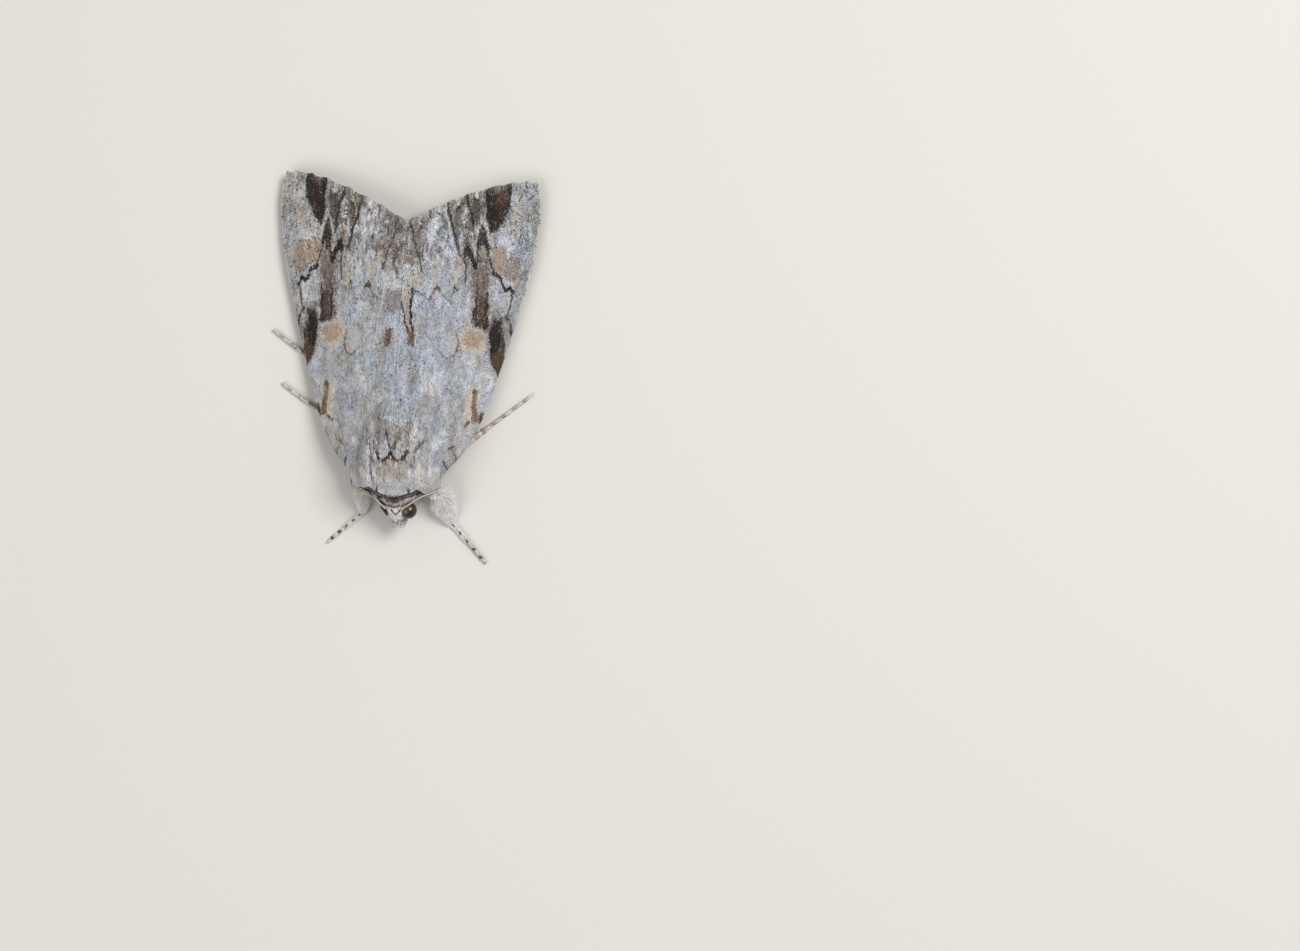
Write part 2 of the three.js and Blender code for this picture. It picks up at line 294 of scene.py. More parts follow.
def slab(top, bottom):
    """A closed plate between two grids of points (rows x columns x 3)."""
    rows, columns = top.shape[:2]
    i, j = np.meshgrid(np.arange(rows - 1), np.arange(columns - 1), indexing="ij")
    a = (i * columns + j).ravel()
    over = np.stack([a, a + columns, a + columns + 1, a + 1], -1)
    under = over[:, ::-1] + rows * columns
    edge = np.concatenate([
        np.arange(columns), np.arange(2, rows) * columns - 1,
        rows * columns - 1 - np.arange(columns), np.arange(rows - 2, 0, -1) * columns,
    ])
    after = np.roll(edge, -1)
    rim = np.stack([edge, after, after + rows * columns, edge + rows * columns], -1)
    return np.concatenate([top.reshape(-1, 3), bottom.reshape(-1, 3)]), [over, under, rim]


def facing_out(points, faces):
    """The same faces, turned over if the closed shape that they bound is inside out."""
    volume = 0.0
    for f in faces:
        for k in range(1, f.shape[1] - 1):
            a, b, c = points[f[:, 0]], points[f[:, k]], points[f[:, k + 1]]
            volume += np.einsum("ij,ij->", a, np.cross(b, c))
    return faces if volume > 0 else [f[:, ::-1] for f in faces]


print("a slab of 2 x 2 points has", sum(map(len, slab(*np.zeros((2, 2, 2, 3)))[1])), "faces")


# %% Finished pieces


def make_piece(name, points, faces, material, slot, colours, spots=None, smooth=True, replaces=()):
    """A finished piece: its mesh, the colours of its points (sRGB), and where each point's small
    patch lies on the bake map. It rides on the only body, and may stand for solids."""
    faces = facing_out(points, faces)
    piece, corners = mesh_of(name, metres(points), faces, material)
    mesh = piece.data
    rgba = np.ones((len(points), 4), np.float32)
    rgba[:, :3] = to_light(np.clip(colours, 0, 1))
    mesh.color_attributes.new("markings", "FLOAT_COLOR", "POINT").data.foreach_set("color", rgba.ravel())
    if spots is not None:
        layer = mesh.uv_layers.new(name="OFBake")
        layer.data.foreach_set("uv", spots[corners].astype(np.float32).ravel())
    mesh.polygons.foreach_set("use_smooth", np.full(len(mesh.polygons), smooth))
    mesh.update()
    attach(piece, "root")
    if replaces:
        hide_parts(*replaces)
    print(f"{name}: {sum(len(f) * (f.shape[1] - 2) for f in faces)} triangles")


def join(parts):
    """Puts several sets of points, faces, colours and bake places together into one."""
    points, faces, colours, spots = zip(*parts)
    starts = np.cumsum([0] + [len(p) for p in points[:-1]])
    together = [group + n for groups, n in zip(faces, starts) for group in groups]
    return np.concatenate(points), together, np.concatenate(colours), np.concatenate(spots)


def plant(name, parts, material, slot, smooth=False):
    """One piece of the sets of scales and hairs in `parts`."""
    points, faces, colours, spots = join(parts)
    make_piece(name, points, faces, material, slot, colours, spots, smooth)


# %% [markdown]
# ## Scales and hairs
# The dust on a moth is scales: flat chitin flakes set in rows like tiles, and on the body drawn
# out into hairs. Particle hair would be lost on export, so each scale is a small closed mesh.
# `scatter` picks evenly spread places on a grid surface, and `repeat_shape` puts one shape on
# every place at once: arrays of all the places times the few points of one shape.

# %% Spread places over a grid


def scatter(grid, count, seed, closed=True, share=1.0):
    """`count` places on a grid of points (rows x columns x 3), as many in each cell as its area
    (times `share`) asks for. Gives place, normal, the directions along and across the grid, and
    the place's fractions (u along, v across)."""
    rng = np.random.default_rng(seed)
    if closed:
        grid = np.concatenate([grid, grid[:, :1]], axis=1)
    a, b, c, d = grid[:-1, :-1], grid[1:, :-1], grid[1:, 1:], grid[:-1, 1:]
    area = np.linalg.norm(np.cross(c - a, d - b), axis=-1) / 2 * share
    rows, columns = area.shape
    total = np.cumsum(area)
    cell = np.searchsorted(total, (np.arange(count) + rng.random(count)) / count * total[-1])
    cell = np.minimum(cell, rows * columns - 1)
    s, t = rng.random((2, count, 1))
    a, b, c, d = (corner.reshape(-1, 3)[cell] for corner in (a, b, c, d))
    place = (a * (1 - s) + b * s) * (1 - t) + (d * (1 - s) + c * s) * t
    along, across = unit(b - a + c - d), unit(d - a + c - b)
    normal = unit(np.cross(along, across))
    u, v = (cell // columns + s[:, 0]) / rows, (cell % columns + t[:, 0]) / columns
    return place, normal, along, across, u, v


def upward(normal):
    """The same normals, turned over where they point down."""
    return normal * np.sign(normal[:, 2:])


# %% One flat scale, and one hair, on every place
PATCH = 0.003  # width of a scale's own patch on the bake map
# Painted shade and light: a scale's root, covered by the scales over it, is drawn darker, and its free tip
# paler.
ROOT_SHADE, TIP_LIGHT = 0.92, 1.04

# Each shape is its points (across and along, in shares of width and length, and height above the
# flat, in shares of the width) and its triangles.
FLAKE = np.array([
    [-0.22, 0, 0], [0.22, 0, 0], [0.5, 0.55, 0], [0.34, 1, 0], [-0.34, 1, 0], [-0.5, 0.55, 0],
    [0, 0.6, 0.1],
]), np.array([[6, i, (i + 1) % 6] for i in range(6)] + [[0, i, i - 1] for i in (5, 4, 3, 2)])
HAIR_STATIONS = ((0, 0.6), (0.4, 1.0), (0.75, 0.6))  # share of the length, share of the width
HAIR = np.array([[a * w, s, h * w] for s, w in HAIR_STATIONS
                 for a, h in ((-0.5, -0.12), (0.5, -0.12), (0, 0.22))] + [[0, 1, 0]]), np.array(
    [[0, 2, 1]]
    + [[3 * r + i, 3 * r + (i + 1) % 3, 3 * r + 3 + i] for r in (0, 1) for i in range(3)]
    + [[3 * r + (i + 1) % 3, 3 * r + 3 + (i + 1) % 3, 3 * r + 3 + i] for r in (0, 1) for i in range(3)]
    + [[6, 7, 9], [7, 8, 9], [8, 6, 9]])
print("triangles of a scale and of a hair:", len(FLAKE[1]), len(HAIR[1]))


def repeat_shape(kind, place, normal, lie, length, width, lift, colours, u, v, droop=0.0, sway=0.0):
    """Puts one small shape on every place. A point of it lies at place + lie * (along * length)
    + side * (across * width + sway * length * along squared) + normal * (height * width
    + length * (lift * along - droop * along squared)). The colour runs from a darker root to a
    paler tip: painted shade where the scales above cover the root, and painted light on the free
    tip. The bake patch repeats the shape around its root's place."""
    shape, faces = kind
    column = lambda value: np.broadcast_to(value, (len(place),))[:, None, None]
    length, width, lift, droop, sway = map(column, (length, width, lift, droop, sway))
    lie = unit(lie - normal * np.sum(lie * normal, -1, keepdims=True))
    side = np.cross(lie, normal)
    across, along, height = (shape[None, :, k, None] for k in range(3))
    points = (
        place[:, None] + lie[:, None] * along * length
        + side[:, None] * (across * width + sway * length * along ** 2)
        + normal[:, None] * (height * width + length * (lift * along - droop * along ** 2))
    )
    tone = ROOT_SHADE + (TIP_LIGHT - ROOT_SHADE) * along
    spots = np.stack([u, v], -1)[:, None] + PATCH * (shape[None, :, :2] - (0, 0.5))
    every = faces[None] + len(shape) * np.arange(len(place))[:, None, None]
    return (points.reshape(-1, 3), [every.reshape(-1, 3)],
            (colours[:, None] * tone).reshape(-1, 3), spots.reshape(-1, 2))


# %% [markdown]
# ## The finish of scales
# Wing and body scales are matt chitin, ribbed far finer than the eye sees: light spreads off
# them softly, with no clear reflection. Such ribs are too fine to draw, so the grain is as coarse
# as a scale is wide, 0.12 to 0.15 mm. An image could carry the colours; here every finish reads
# the colour painted on each point, so that skins and scales match without one.

# %% Finishes with painted colour
CHITIN_IOR = 1.56


def painted_finish(name, texture, signal, grain, tones, bump, shine, invert=False):
    """The painted colour, made darker and lighter by a fine texture that also raises shallow
    bumps. `tones` says which tone, in the second pair, the texture's first pair of values gets,
    and `bump` its depth in mm and its strength."""
    material, shader = new_material(name)
    paint = add_node(material, "ShaderNodeVertexColor", layer_name="markings")
    where = add_node(material, "ShaderNodeTexCoord")
    pattern = add_node(material, texture, {"Vector": where.outputs["Object"], **grain}).outputs[signal]
    level = add_node(material, "ShaderNodeMapRange", {
        "Value": pattern, **dict(zip(("From Min", "From Max", "To Min", "To Max"), tones))})
    tinted = add_node(material, "ShaderNodeVectorMath", {
        0: paint.outputs["Color"], 1: level.outputs["Result"]}, operation="MULTIPLY")
    relief = add_node(material, "ShaderNodeBump", {
        "Height": pattern, "Distance": bump[0] * MM, "Strength": bump[1]}, invert=invert)
    feed(material, shader, {"Base Color": tinted.outputs["Vector"], "Normal": relief.outputs["Normal"],
                            "IOR": CHITIN_IOR, **shine})
    return material


def scale_finish(name, roughness, grain_mm, grain_depth, bump):
    """Matt chitin: a fine random grain and shallow bumps."""
    return painted_finish(
        name, "ShaderNodeTexNoise", "Fac", {"Scale": 1 / (grain_mm * MM), "Detail": 3.0},
        (0.3, 0.7, 1 - grain_depth, 1 + grain_depth), (bump, 0.6),
        {"Roughness": roughness, "Specular IOR Level": 0.25})


wing_scales = scale_finish("matt_wing_scales", 0.72, 0.12, 0.08, 0.02)
wing_membrane = scale_finish("scaled_wing_membrane", 0.75, 0.15, 0.12, 0.04)  # between the scales
body_hair = scale_finish("dense_body_hair", 0.8, 0.15, 0.10, 0.02)  # soft thatch, without gloss
body_skin = scale_finish("scaled_body_cuticle", 0.85, 0.15, 0.15, 0.05)  # dull, in the hair's shade
leg_scales = scale_finish("smooth_leg_scales", 0.65, 0.12, 0.08, 0.02)  # pressed flat: smoother
scaly = wing_scales, wing_membrane, body_hair, body_skin, leg_scales
print("finishes of scales:", [material.name for material in scaly])

# %% [markdown]
# ## Painting with formulas
# The markings of a wing are lines, patches and spots with known places. `painted` takes a list of
# them and lays each one over the last: how much of it shows at a place depends on the distance to
# its line or outline. Each scale has its own `grain` from 0 to 1, and near an edge, or in a thin
# mixture, only the scales whose grain is high enough take the new colour, as in life, where each
# scale has one plain colour.

# %% Lines, patches, spots and mixtures


def marks(text):
    """Reads a list of marks, one to a row: its kind, its colour, for a line or spot its width in
    mm (or two widths, one for each end), the softness of its edge in mm, its strength, and then
    the places x,y in mm that it goes through. A row that starts with a space goes on with the
    one before."""
    found = []
    for row in text.strip().replace("\n ", " ").splitlines():
        kind, colour, *rest = row.split()
        *width, soft, mix = (float(word) for word in rest if "," not in word)
        points = [tuple(map(float, word.split(","))) for word in rest if "," in word]
        if kind == "spot":
            points.append((points[0][0], points[0][1] + 0.01))
        found.append(("#" + colour, width, points, soft, mix))
    return found


def to_line(x, y, points):
    """Distance to a broken line, and how far along it (0 to 1) the nearest place is."""
    best, share = np.full(x.shape, np.inf), np.zeros(x.shape)
    for k, ((ax, ay), (bx, by)) in enumerate(zip(points[:-1], points[1:])):
        dx, dy = bx - ax, by - ay
        t = np.clip(((x - ax) * dx + (y - ay) * dy) / (dx * dx + dy * dy + 1e-9), 0, 1)
        d = np.hypot(x - ax - t * dx, y - ay - t * dy)
        nearer = d < best
        best, share = np.where(nearer, d, best), np.where(nearer, (k + t) / (len(points) - 1), share)
    return best, share


def in_outline(x, y, points):
    """Distance to a closed outline, above 0 inside it and below 0 outside."""
    inside = np.zeros(x.shape, bool)
    for (ax, ay), (bx, by) in zip(points, points[1:] + points[:1]):
        crosses = (ay > y) != (by > y)
        inside ^= crosses & (x < ax + (y - ay) * (bx - ax) / (by - ay + 1e-12))
    distance = to_line(x, y, points + points[:1])[0]
    return np.where(inside, distance, -distance)


EDGE_STREAK, EDGE_CHANCE = 0.5, 0.9  # how much streaks and each scale's chance fray an edge
MIX_STREAK, MIX_CHANCE = 0.3, 0.5  # and how much they change the strength
STRAYS, STRAY_FADE = 0.07, 0.55  # share of the scales that take less of every mark


def painted(base, found, x, y, grain):
    """Lays marks over a base colour, one after another: base + (the mark's colour - base) * cover *
    strength. Noise frays the cover's edge and thins the strength, and each scale's grain decides."""
    streak = noise(x, y / 5, 0.16, 7) + 0.6 * noise(x, y / 4, 0.4, 8)
    for k, (colour, width, points, soft, mix) in enumerate(found):
        (left, front), (right, rear) = np.min(points, 0), np.max(points, 0)
        margin = max(width, default=0) + 2 * soft
        here = np.flatnonzero((x > left - margin) & (x < right + margin)
                              & (y > front - margin) & (y < rear + margin))
        if width:
            d, share = to_line(x[here], y[here], points)
            depth = (width[0] + (width[-1] - width[0]) * share) / 2 - d
        else:
            depth = in_outline(x[here], y[here], points)
        cover = step(depth + EDGE_STREAK * soft * streak[here], -soft, soft)
        chance = np.roll(grain, 997 * k)[here] - 0.5
        cover = step(cover + EDGE_CHANCE * chance, 0.2, 0.8)
        cover = cover * (1 - STRAY_FADE * (np.roll(grain, 13)[here] < STRAYS))
        strength = mix * (1 + MIX_STREAK * streak[here]) + MIX_CHANCE * chance * (1 - abs(2 * mix - 1))
        base[here] += (srgb(colour) - base[here]) * (cover * np.clip(strength, 0, 1))[:, None]
    return base


def plain(colour, count):
    """One colour for `count` places."""
    return np.tile(srgb(colour), (count, 1))


def mixed(colour, other, share):
    """A share of the other colour laid over the first."""
    return colour + (srgb(other) - colour) * share


print("one mark:", marks("spot 9A8472 2.3 .4 .9  8.8,.5"))

# %% [markdown]
# ## The forewing's markings
# This kind hides by day as bark: pale grey with a blue cast, a pale brown round spot, black
# zigzags that cross from the leading edge to the middle, a dark wedge at the wing's tip and
# dark streaks along the veins. Places are millimetres on the folded wing, x from the middle and
# y towards the tail. Soft zones come first, then bands, then the sharp lines.

# %% Zones of the forewing
WING_PALE = "#A3A7AF"

WING_ZONES = marks("""
patch 9D9C9C 1.5 .6  -1,-9 8,-9.5 8.8,-13 5,-18 -1,-18
patch 857C74 .7 .5  8.2,14.5 8.3,9 8.2,2 10.7,1.4 11,4 11,9 10.8,13 9.6,15.4
patch 857C74 .6 .45  10.8,3.5 13.4,4 12.9,-3.2 11,-3 10.3,0
patch 887F78 .5 .45  6.9,14 7,6.4 8.6,6 8.8,13
patch 959CA6 1.2 .45  2.2,6 2.2,-3 5,-4 8.4,-3 8.6,6 5,7
patch B1B2B8 .6 .6  7.6,-1.5 10.8,-1.5 11.5,-4.5 10.8,-8 8.2,-10 7.8,-4
patch 76787B .4 .6  1.3,-1.5 2.6,-1.8 2.9,-6 1.6,-7
patch A7A39F .5 .6  -.5,9 2.4,9 6.6,12.5 9,15 10,20.5 4,19 -.5,16
patch 8F8C8A .6 .45  1.4,-6.5 2.2,-6 2.9,-1 3.1,5 2.3,6 1.9,1
line 8D8A88 .7 .4 .5  3.4,-7 3.2,-11
line 918D8A .6 .4 .45  5.9,1.8 6.3,-3 6.6,-6
line 8E8B89 .5 .35 .45  7.6,5.8 7.4,2 7.3,-2.5 7.6,-6
line 93908D .6 .35 .4  4.9,5.8 4.8,2 4.4,-2
line B7B7BA .6 .35 .5  8.2,6 8,3 7.9,2.2
line AEAFB4 .8 .35 .45  5.6,5.2 5.4,2.6
line 8A8784 .5 .35 .4  9.6,-1.6 9.9,-4.5
patch 8C8885 .4 .45  6.3,-10 7.6,-9.6 7.2,-12.4 6.4,-12.6
patch AEAFB2 .5 .55  2.4,8.9 2.9,10.6 4.6,12.8 6.2,12.8 6.9,11.3 6.9,9 5.5,8.6 3.6,9.2
patch 5F5850 .6 .4  6.6,20 6.4,15 7.2,14 8.8,15 9.9,15.4 9.9,20.4
patch 736C66 .4 .6  6.6,19 6.3,14.3 7.2,13.9 8.6,14.6 9,16 10.2,15.5 10,20.2 8,20
patch B4B3B3 .4 .6  3.2,13 3.4,17.6 4.8,18 5.6,15 6.2,13
patch 5A5149 .25 .6  5.8,17.6 6.1,14.6 7,14.2 6.9,17.4 6.4,18
patch BDBAB4 .2 .8  6.95,17.6 6.9,15 7.7,14.9 7.9,16.8 7.5,17.8
patch 4A443E .25 .7  8.1,18.3 8,15 8.6,14.4 9.3,15 9.3,18
patch 9D978F .15 .7  9.3,19.8 9.3,15.4 9.9,15 9.85,19.4
patch 95979A .3 .5  5,18.2 7.2,18.3 7.8,19.4 5.6,19.2
patch A9A49B .5 .45  7.2,-6.8 8.6,-6.4 8,-9.5 6.8,-10.5 6.2,-8
patch ABA79F .4 .45  2.9,-7 4.4,-7 4.2,-10.5 3,-10
patch B9B9BC .6 .6  4.3,-3.7 5.9,-3.7 6.3,-6.4 4.6,-6.9 3.2,-6.2
patch B4B4B7 .5 .5  5.3,-9.8 6.6,-10 6.4,-12.3 5,-12.6
patch B9B3B0 .4 .5  7.6,-10.2 9.2,-10.8 7.4,-14 6.6,-13
patch 877B72 .4 .65  -.5,9.4 -.5,15.5 2.6,17.3 3.1,14.6 2.4,11 1.6,9.4
patch 9B9D9D .25 .8  12.4,21 12.5,17.4 10.9,14.4 10.9,12.4 13,11.2 14.6,11.4 15.2,9.6 16.6,12 17,17
  16.4,21.4
patch A29A91 .3 .75  13,20.5 12.9,17 13,13.4 13.9,13.2 14.2,17 14.2,20
line A59D96 .6 .25 .5  15.1,19 15.3,15.5
line 7D8284 .35 .15 .6  14.5,20 14.5,17 14.6,14 14.9,12
line 868B8D .3 .15 .6  15.9,18.5 15.8,15 15.5,12.5
patch BFBEC4 .3 .7  10.9,13.8 11.4,12.7 12.6,11.9 14,12.2 13.2,13 12.4,15 11.4,14.8
patch B6B7BB .3 .8  10.5,8.6 11.6,8 12.4,6.8 13,5.8 12.7,4.2 11.5,4.4 10.5,4.6
patch 8B8682 .3 .55  13.4,7.8 14.3,8.8 14.7,10.8 15.4,10 14.8,7.5 14.2,5 13.4,5
patch 85817F .45 .5  10.6,4.4 12.9,4 12.6,1.8 10.5,1.8
patch C9C8C6 .2 .6  4.7,-11.9 5.8,-12.3 5.6,-13.4 4.8,-13.2
""")
print("zones:", len(WING_ZONES))

# %% Bands, wedge and round spots
WING_BANDS = marks("""
patch 857A6E .3 .6  8.9,12.6 8.95,10.6 10.2,10.4 10.5,11.4 10.2,12.6
patch 6E6257 .5 .7  8.6,10.8 8.8,7.4 10.2,7.2 10.6,9.4 10.2,10.8
patch 645548 .6 .8  8.6,8.8 8.75,4.4 10.45,4.2 10.4,8.4 9.6,9.6
patch 35271D .6 .88  8.95,5.6 8.75,4.4 8.85,2.9 9.3,2.1 10.1,1.7 10.5,2.1 10.45,4.6 10.3,5.6 9.7,6
line 1F1712 .2 .6 .25 .75  10.25,6.6 10.25,4.5 10.2,2.1
line 1F1712 .2 .4 .25 .6  9.05,7.2 9,4 9.2,2.6
line 5A4C40 .4 .25 .45  9.65,6.4 9.65,3.4
patch 20150E .2 .95  9.75,20.8 10,18 10.1,16 10.4,13.7 10.9,14 12.2,16.2 12.5,18 12.45,21.2
patch 2E1D12 .4 .75  10.9,19 11.9,19.3 12,17.8 11.5,16.6 10.9,16.9
patch 140E0A .25 .7  10.2,17 10.45,14 10.9,14.3 11.6,15.7 10.9,16.7
spot 6F6A66 1.2 .3 .55  11.2,20
line 1A1410 .35 .1 .9  12.3,20.9 12.35,19 12.45,17.2
line 1A1410 .3 .1 .9  9.8,20.4 10.1,18 10.3,16 10.55,14.1
patch 9E8A77 .22 .9  10.95,12.1 10.8,10.8 10.9,9.4 11.3,9 12.1,8.9 12.5,10 12.3,11.6 11.9,12.4
patch 85796E .25 .85  12.5,10.6 12.2,9.2 12.3,8.2 13.3,8 14.1,8.6 14.2,10.3 13.7,11.2 13,11.2
patch ADA297 .22 .7  3.3,9.3 4.2,9.2 4.4,7.6 3.9,7.2 3.5,8
patch ADA396 .22 .6  5.7,9.4 6.5,9.2 6.9,7.4 6.2,7.3 5.8,8.2
spot B7AFA5 3.3 .4 .8  8.8,.5
spot 9A8472 2.3 .4 .9  8.9,.5
line AA9683 .5 .3 .4  8.2,.9 9.2,1
patch AEB0B5 .25 .6  5,.9 6,1.3 6.8,.9 6.9,-.8 6.4,-1.6 5.6,-1.7 5,-1
line 6B625B .9 .35 .5  11.2,4 11.6,2.4 11.9,.6
patch 362A21 .28 .88  11,3.3 11.6,2.9 12.2,3.4 12.45,1.2 12.75,-.6 12.4,-2.4 12.1,-3.9 11.7,-3.2 11.1,-2.2
  10.9,-.4 10.8,1.2
patch 17110C .25 .8  11.05,2.4 11.8,2.5 12,.5 11.7,-1 11.1,-1 10.95,.6
patch 4F3622 .25 .65  11.3,-1.2 12.5,-.6 12.5,-2.4 12.1,-3.3 11.6,-2.8
line C3B6A2 .9 .25 .5  8.75,-5.9 8.65,-8 8.7,-9.6
line 7F6E58 .5 .7 .1 .9  9.3,-5.7 9.3,-7.5 9.4,-9.4
line 6E503A .5 .15 .7  9.35,-7.8 9.55,-9.4
spot 5B5233 .65 .12 .85  9.3,-6
line 4A2B20 .45 .12 .85  10.3,-8.6 9.9,-9.6
patch 6B5C53 .18 .8  2.5,12.5 3.1,12.3 3.3,11.2 2.6,11
""")
print("bands and spots:", len(WING_BANDS))

# %% Zigzags, teeth and vein streaks
WING_LINES = marks("""
line 1A1410 .32 .07 1  13.35,6.5 12.95,7.35 12.5,6.75 12.1,7.5 11.8,8.1
line 1A1410 .62 .1 1  11.75,8.3 11.1,8.75
line A9A49C .9 .15 .6  8.95,12.2 9.1,14 9.55,15.3 10,14.8 10.5,12.8
patch 1B120C .14 .97  8.95,12 9,13.4 9.25,14.6 9.55,15 9.85,14.5 10.2,13.2 10.4,12 10.2,11.6 9.7,12.3
  9.2,11.9
line 2C2119 .22 .08 .9  10.3,12.4 10.5,11 10.75,9.6 11.1,8.9
spot 6B543D .5 .15 .7  9.5,14.2
line 2C2119 .24 .07 .9  9.15,12.4 9.05,11 9,9.4
patch 1B120C .12 .96  7.42,10.6 7.4,12 7.7,12.6 8.1,12.2 8.55,11.2 8.95,10 8.98,9.2 8.7,9.2 8.2,10.4 7.9,11
  7.7,10.4
line 2C2119 .26 .14 .1 .85  7.55,10.6 7.62,9 7.6,7.3
patch 71604C .15 .8  7.25,12.4 7.3,13.4 7.6,13.6 8.1,12.9 8,12.4
line A8978A .45 .12 .7  7.25,13 7.15,11 7.1,9.4
line C2C0BC .26 .08 .7  8.85,12.8 9.1,14.6 9.5,15.4 9.95,14.9 10.45,13.4 10.7,12.3
line BBB9B5 .3 .08 .65  6.95,12.4 7,13.6 7.5,14.2 8.1,13.8 8.6,12.2 8.8,11
line 2C2B2E .38 .1 .85  6.9,11 6.55,12.3 6.4,13.4
spot 6B5C4B .45 .1 .85  7.3,6.3
line 2C2119 .2 .06 .85  6.2,6.2 6.35,7.1 6.65,6.5
line 443629 .36 .08 .85  3.9,6.5 4.15,6.95 4.5,6.5
line 7D7468 .15 .05 .7  4.5,6.4 5.2,5.5 5.9,4.9 6.2,6.2
spot 453E37 .28 .07 .8  5.95,4.9
line 957F6E .24 .08 .8  3.85,6.4 3.7,5.4 3.9,3.5 4.3,2.2
line 665C52 .18 .06 .7  2.4,6.2 2.85,5.5 3.3,5.2 3.8,6.2
line 57534F .17 .05 .8  6.85,1 7.05,.1 7,-.9 6.6,-1.7 5.9,-2.05 5.3,-1.5 4.95,-1
line 3F2C22 .4 .25 .1 .88  12.7,3.5 13.1,3.2 13.3,2.2 13.25,1.4
line 3A322D .16 .05 .85  13.3,6.6 13.1,5.2 12.85,3.8
line 8B7F74 .17 .06 .75  7.8,-6.8 7.3,-6.2 6.5,-7 6.2,-7.5
line 958A7D .17 .06 .6  6.4,-7 5.6,-6.9 4.5,-6.8 3.9,-7.1
line 5E4741 .3 .12 .75  4,-12 3.2,-13.2
line 5F4A40 .26 .1 .8  8.8,-9.8 8.3,-10.4
line 46362E .28 .08 .85  7.05,-12.8 6.5,-13.2
line 4E4037 .15 .05 .8  6.8,-12.9 7.4,-13.9 7.35,-14.7
line 4E4037 .22 .07 .8  6.1,-14.6 6.2,-15.3 6.4,-15.9
line 6A6058 .9 .3 .5  5.2,18 5.9,15.6 6.3,14
line 6A6058 .7 .3 .5  7.4,19 8.1,16.6 8.4,14.8
line 7A716A .8 .3 .45  .7,15 1.5,12 2.2,9.2
line 23201E .42 .14 .07 .92  4.8,18.3 5.3,16.6 5.8,15 6.35,13.4
line 23201E .36 .16 .07 .92  7.1,19.4 7.5,18 8,16.6 8.45,14.6
line 3A3633 .2 .07 .7  8.45,14.6 8.65,13
line 2C2927 .26 .1 .06 .85  2.7,17.3 3,16 3.3,15.1
line 2C2B2E .3 .14 .07 .85  .5,15.4 1.2,12.8 1.6,11.2 2.3,8.6
line 47423E .2 .08 .6  13.1,19.4 13.3,20.6
spot 4A3F36 .32 .07 .85  4.2,16
spot C4C0BA .35 .1 .7  4.1,16.45
spot 4A3F36 .34 .07 .85  2.1,14.2
spot C8C4BE .4 .1 .75  1.9,14.7
line 42382F .34 .07 .85  6.2,16.5 6.6,16.9
spot CECBC6 .6 .12 .8  6.35,17.3
spot 42382F .5 .1 .8  8.8,17.6
spot CECBC6 .7 .12 .8  8.6,18.35
spot BDBAB5 .7 .15 .6  8.4,19
""")
# Beside the seam the left wing, which lies over the right one, shows more of its inner marks.
LEFT_SEAM_MARKS = marks("""
patch BCC2C5 .3 .7  -.4,8 0,9.6 1.5,9.4 2,8.6 1.2,8.3 .4,7.8
patch B0A495 .2 .75  .2,7.2 .7,8 1.5,8.3 2.6,7.4 2.5,6.8 1.5,7
patch A6998D .12 .8  .1,6.6 1,6.3 .9,4 1.1,2.5 1.5,.6 1.3,.4 .8,1.8 .4,3 .15,4.5
line 1A1410 .26 .07 .95  1.2,6.5 1.05,5.2 1.05,4 1.25,2.6 1.45,1.5 1.65,.5
line 2C2119 .2 .07 .75  1.3,6.5 1.8,6.25 2.4,5.7
line 2A221C .2 .07 .8  .1,4.6 .3,3.2 .7,2 1.2,.8 1.5,0
patch 6B5543 .12 .9  1,1.2 1.6,1 2,-.4 1.7,-.9 1.2,-.6
patch 5C493C .35 .7  10.7,19.5 12.05,19.7 12.1,18.3 11.7,17.5 10.9,18
spot 8A8580 .7 .2 .6  11,19.3
""")
RIGHT_SEAM_MARKS = marks("""
patch 77706B .25 .65  .1,3.9 .1,6.2 1.9,6.3 2.1,4.4 1.5,3.6
patch B9BDC4 .25 .7  0,6.7 .2,8.6 2.3,8.4 2.4,6.8 1.2,6.4
line 4A3C38 .5 .3 .1 .6  .6,11.5 .9,9.4 .5,7.8
patch 6F5A48 .12 .75  1,1.4 1.8,1.3 1.85,-.3 1.5,-.8 1.05,-.4
line 3E2B1C .22 .08 .6  1.3,1.2 1.5,-.6
line 1B120C .7 .5 .14 .9  9.6,13 9.55,11.2
line 3B3733 .3 .16 .12 .7  8.5,19.4 8.5,17 8.45,14.6 8.5,12.6
patch 988A7C .25 .55  12.1,12 12.1,9 13.4,8.4 14.4,8.6 14.5,11.4 13.4,11.9
""")
SEAM_MARKS = {1: LEFT_SEAM_MARKS, -1: RIGHT_SEAM_MARKS}
print("lines:", len(WING_LINES), "and beside the seam:", len(LEFT_SEAM_MARKS), len(RIGHT_SEAM_MARKS))

# %% [markdown]
# ## The folded forewings
# A moth's wing is a thin membrane on a fan of veins, and these two lie over the back like a low
# roof. The surface is one formula: for a share along the wing and a share across it, the place
# is between the seam and the leading edge, and its height falls from the ridge to the eaves.
# Veins stand up from it a little, and the outer margin is scalloped between them. A flat sheet
# with a picture on it would be quicker, but would show no folds, fringe or scales from the side.

# %% The roof of the wings, as in the solids
WING_FRONT, TORNUS, APEX, MARGIN_REACH, MARGIN_BEND = -17.3, 15.1, 20.7, 14.2, 1.6
ROOF_BEND, SEAM_SHIFT, SEAM_LAP = 1.5, -0.35, 0.12
SIDES = {"left": 1, "right": -1}

leading_edge = through((-17.3, 5.2), (-16, 6.3), (-14, 8.0), (-10, 10.1), (-4, 12.0),
                       (4, 14.2), (12, 15.95), (17, 16.4), (20, 16.0), (20.8, 15.3))
ridge_height = through((-17, 7.6), (-12, 8.4), (-7, 8.0), (0, 6.8), (8, 4.9), (15, 3.7), (21, 3.2))
eave_height = through((-17, 4.2), (-13, 3.1), (-9, 2.2), (-4, 1.7), (0, 1.5), (21, 1.4))


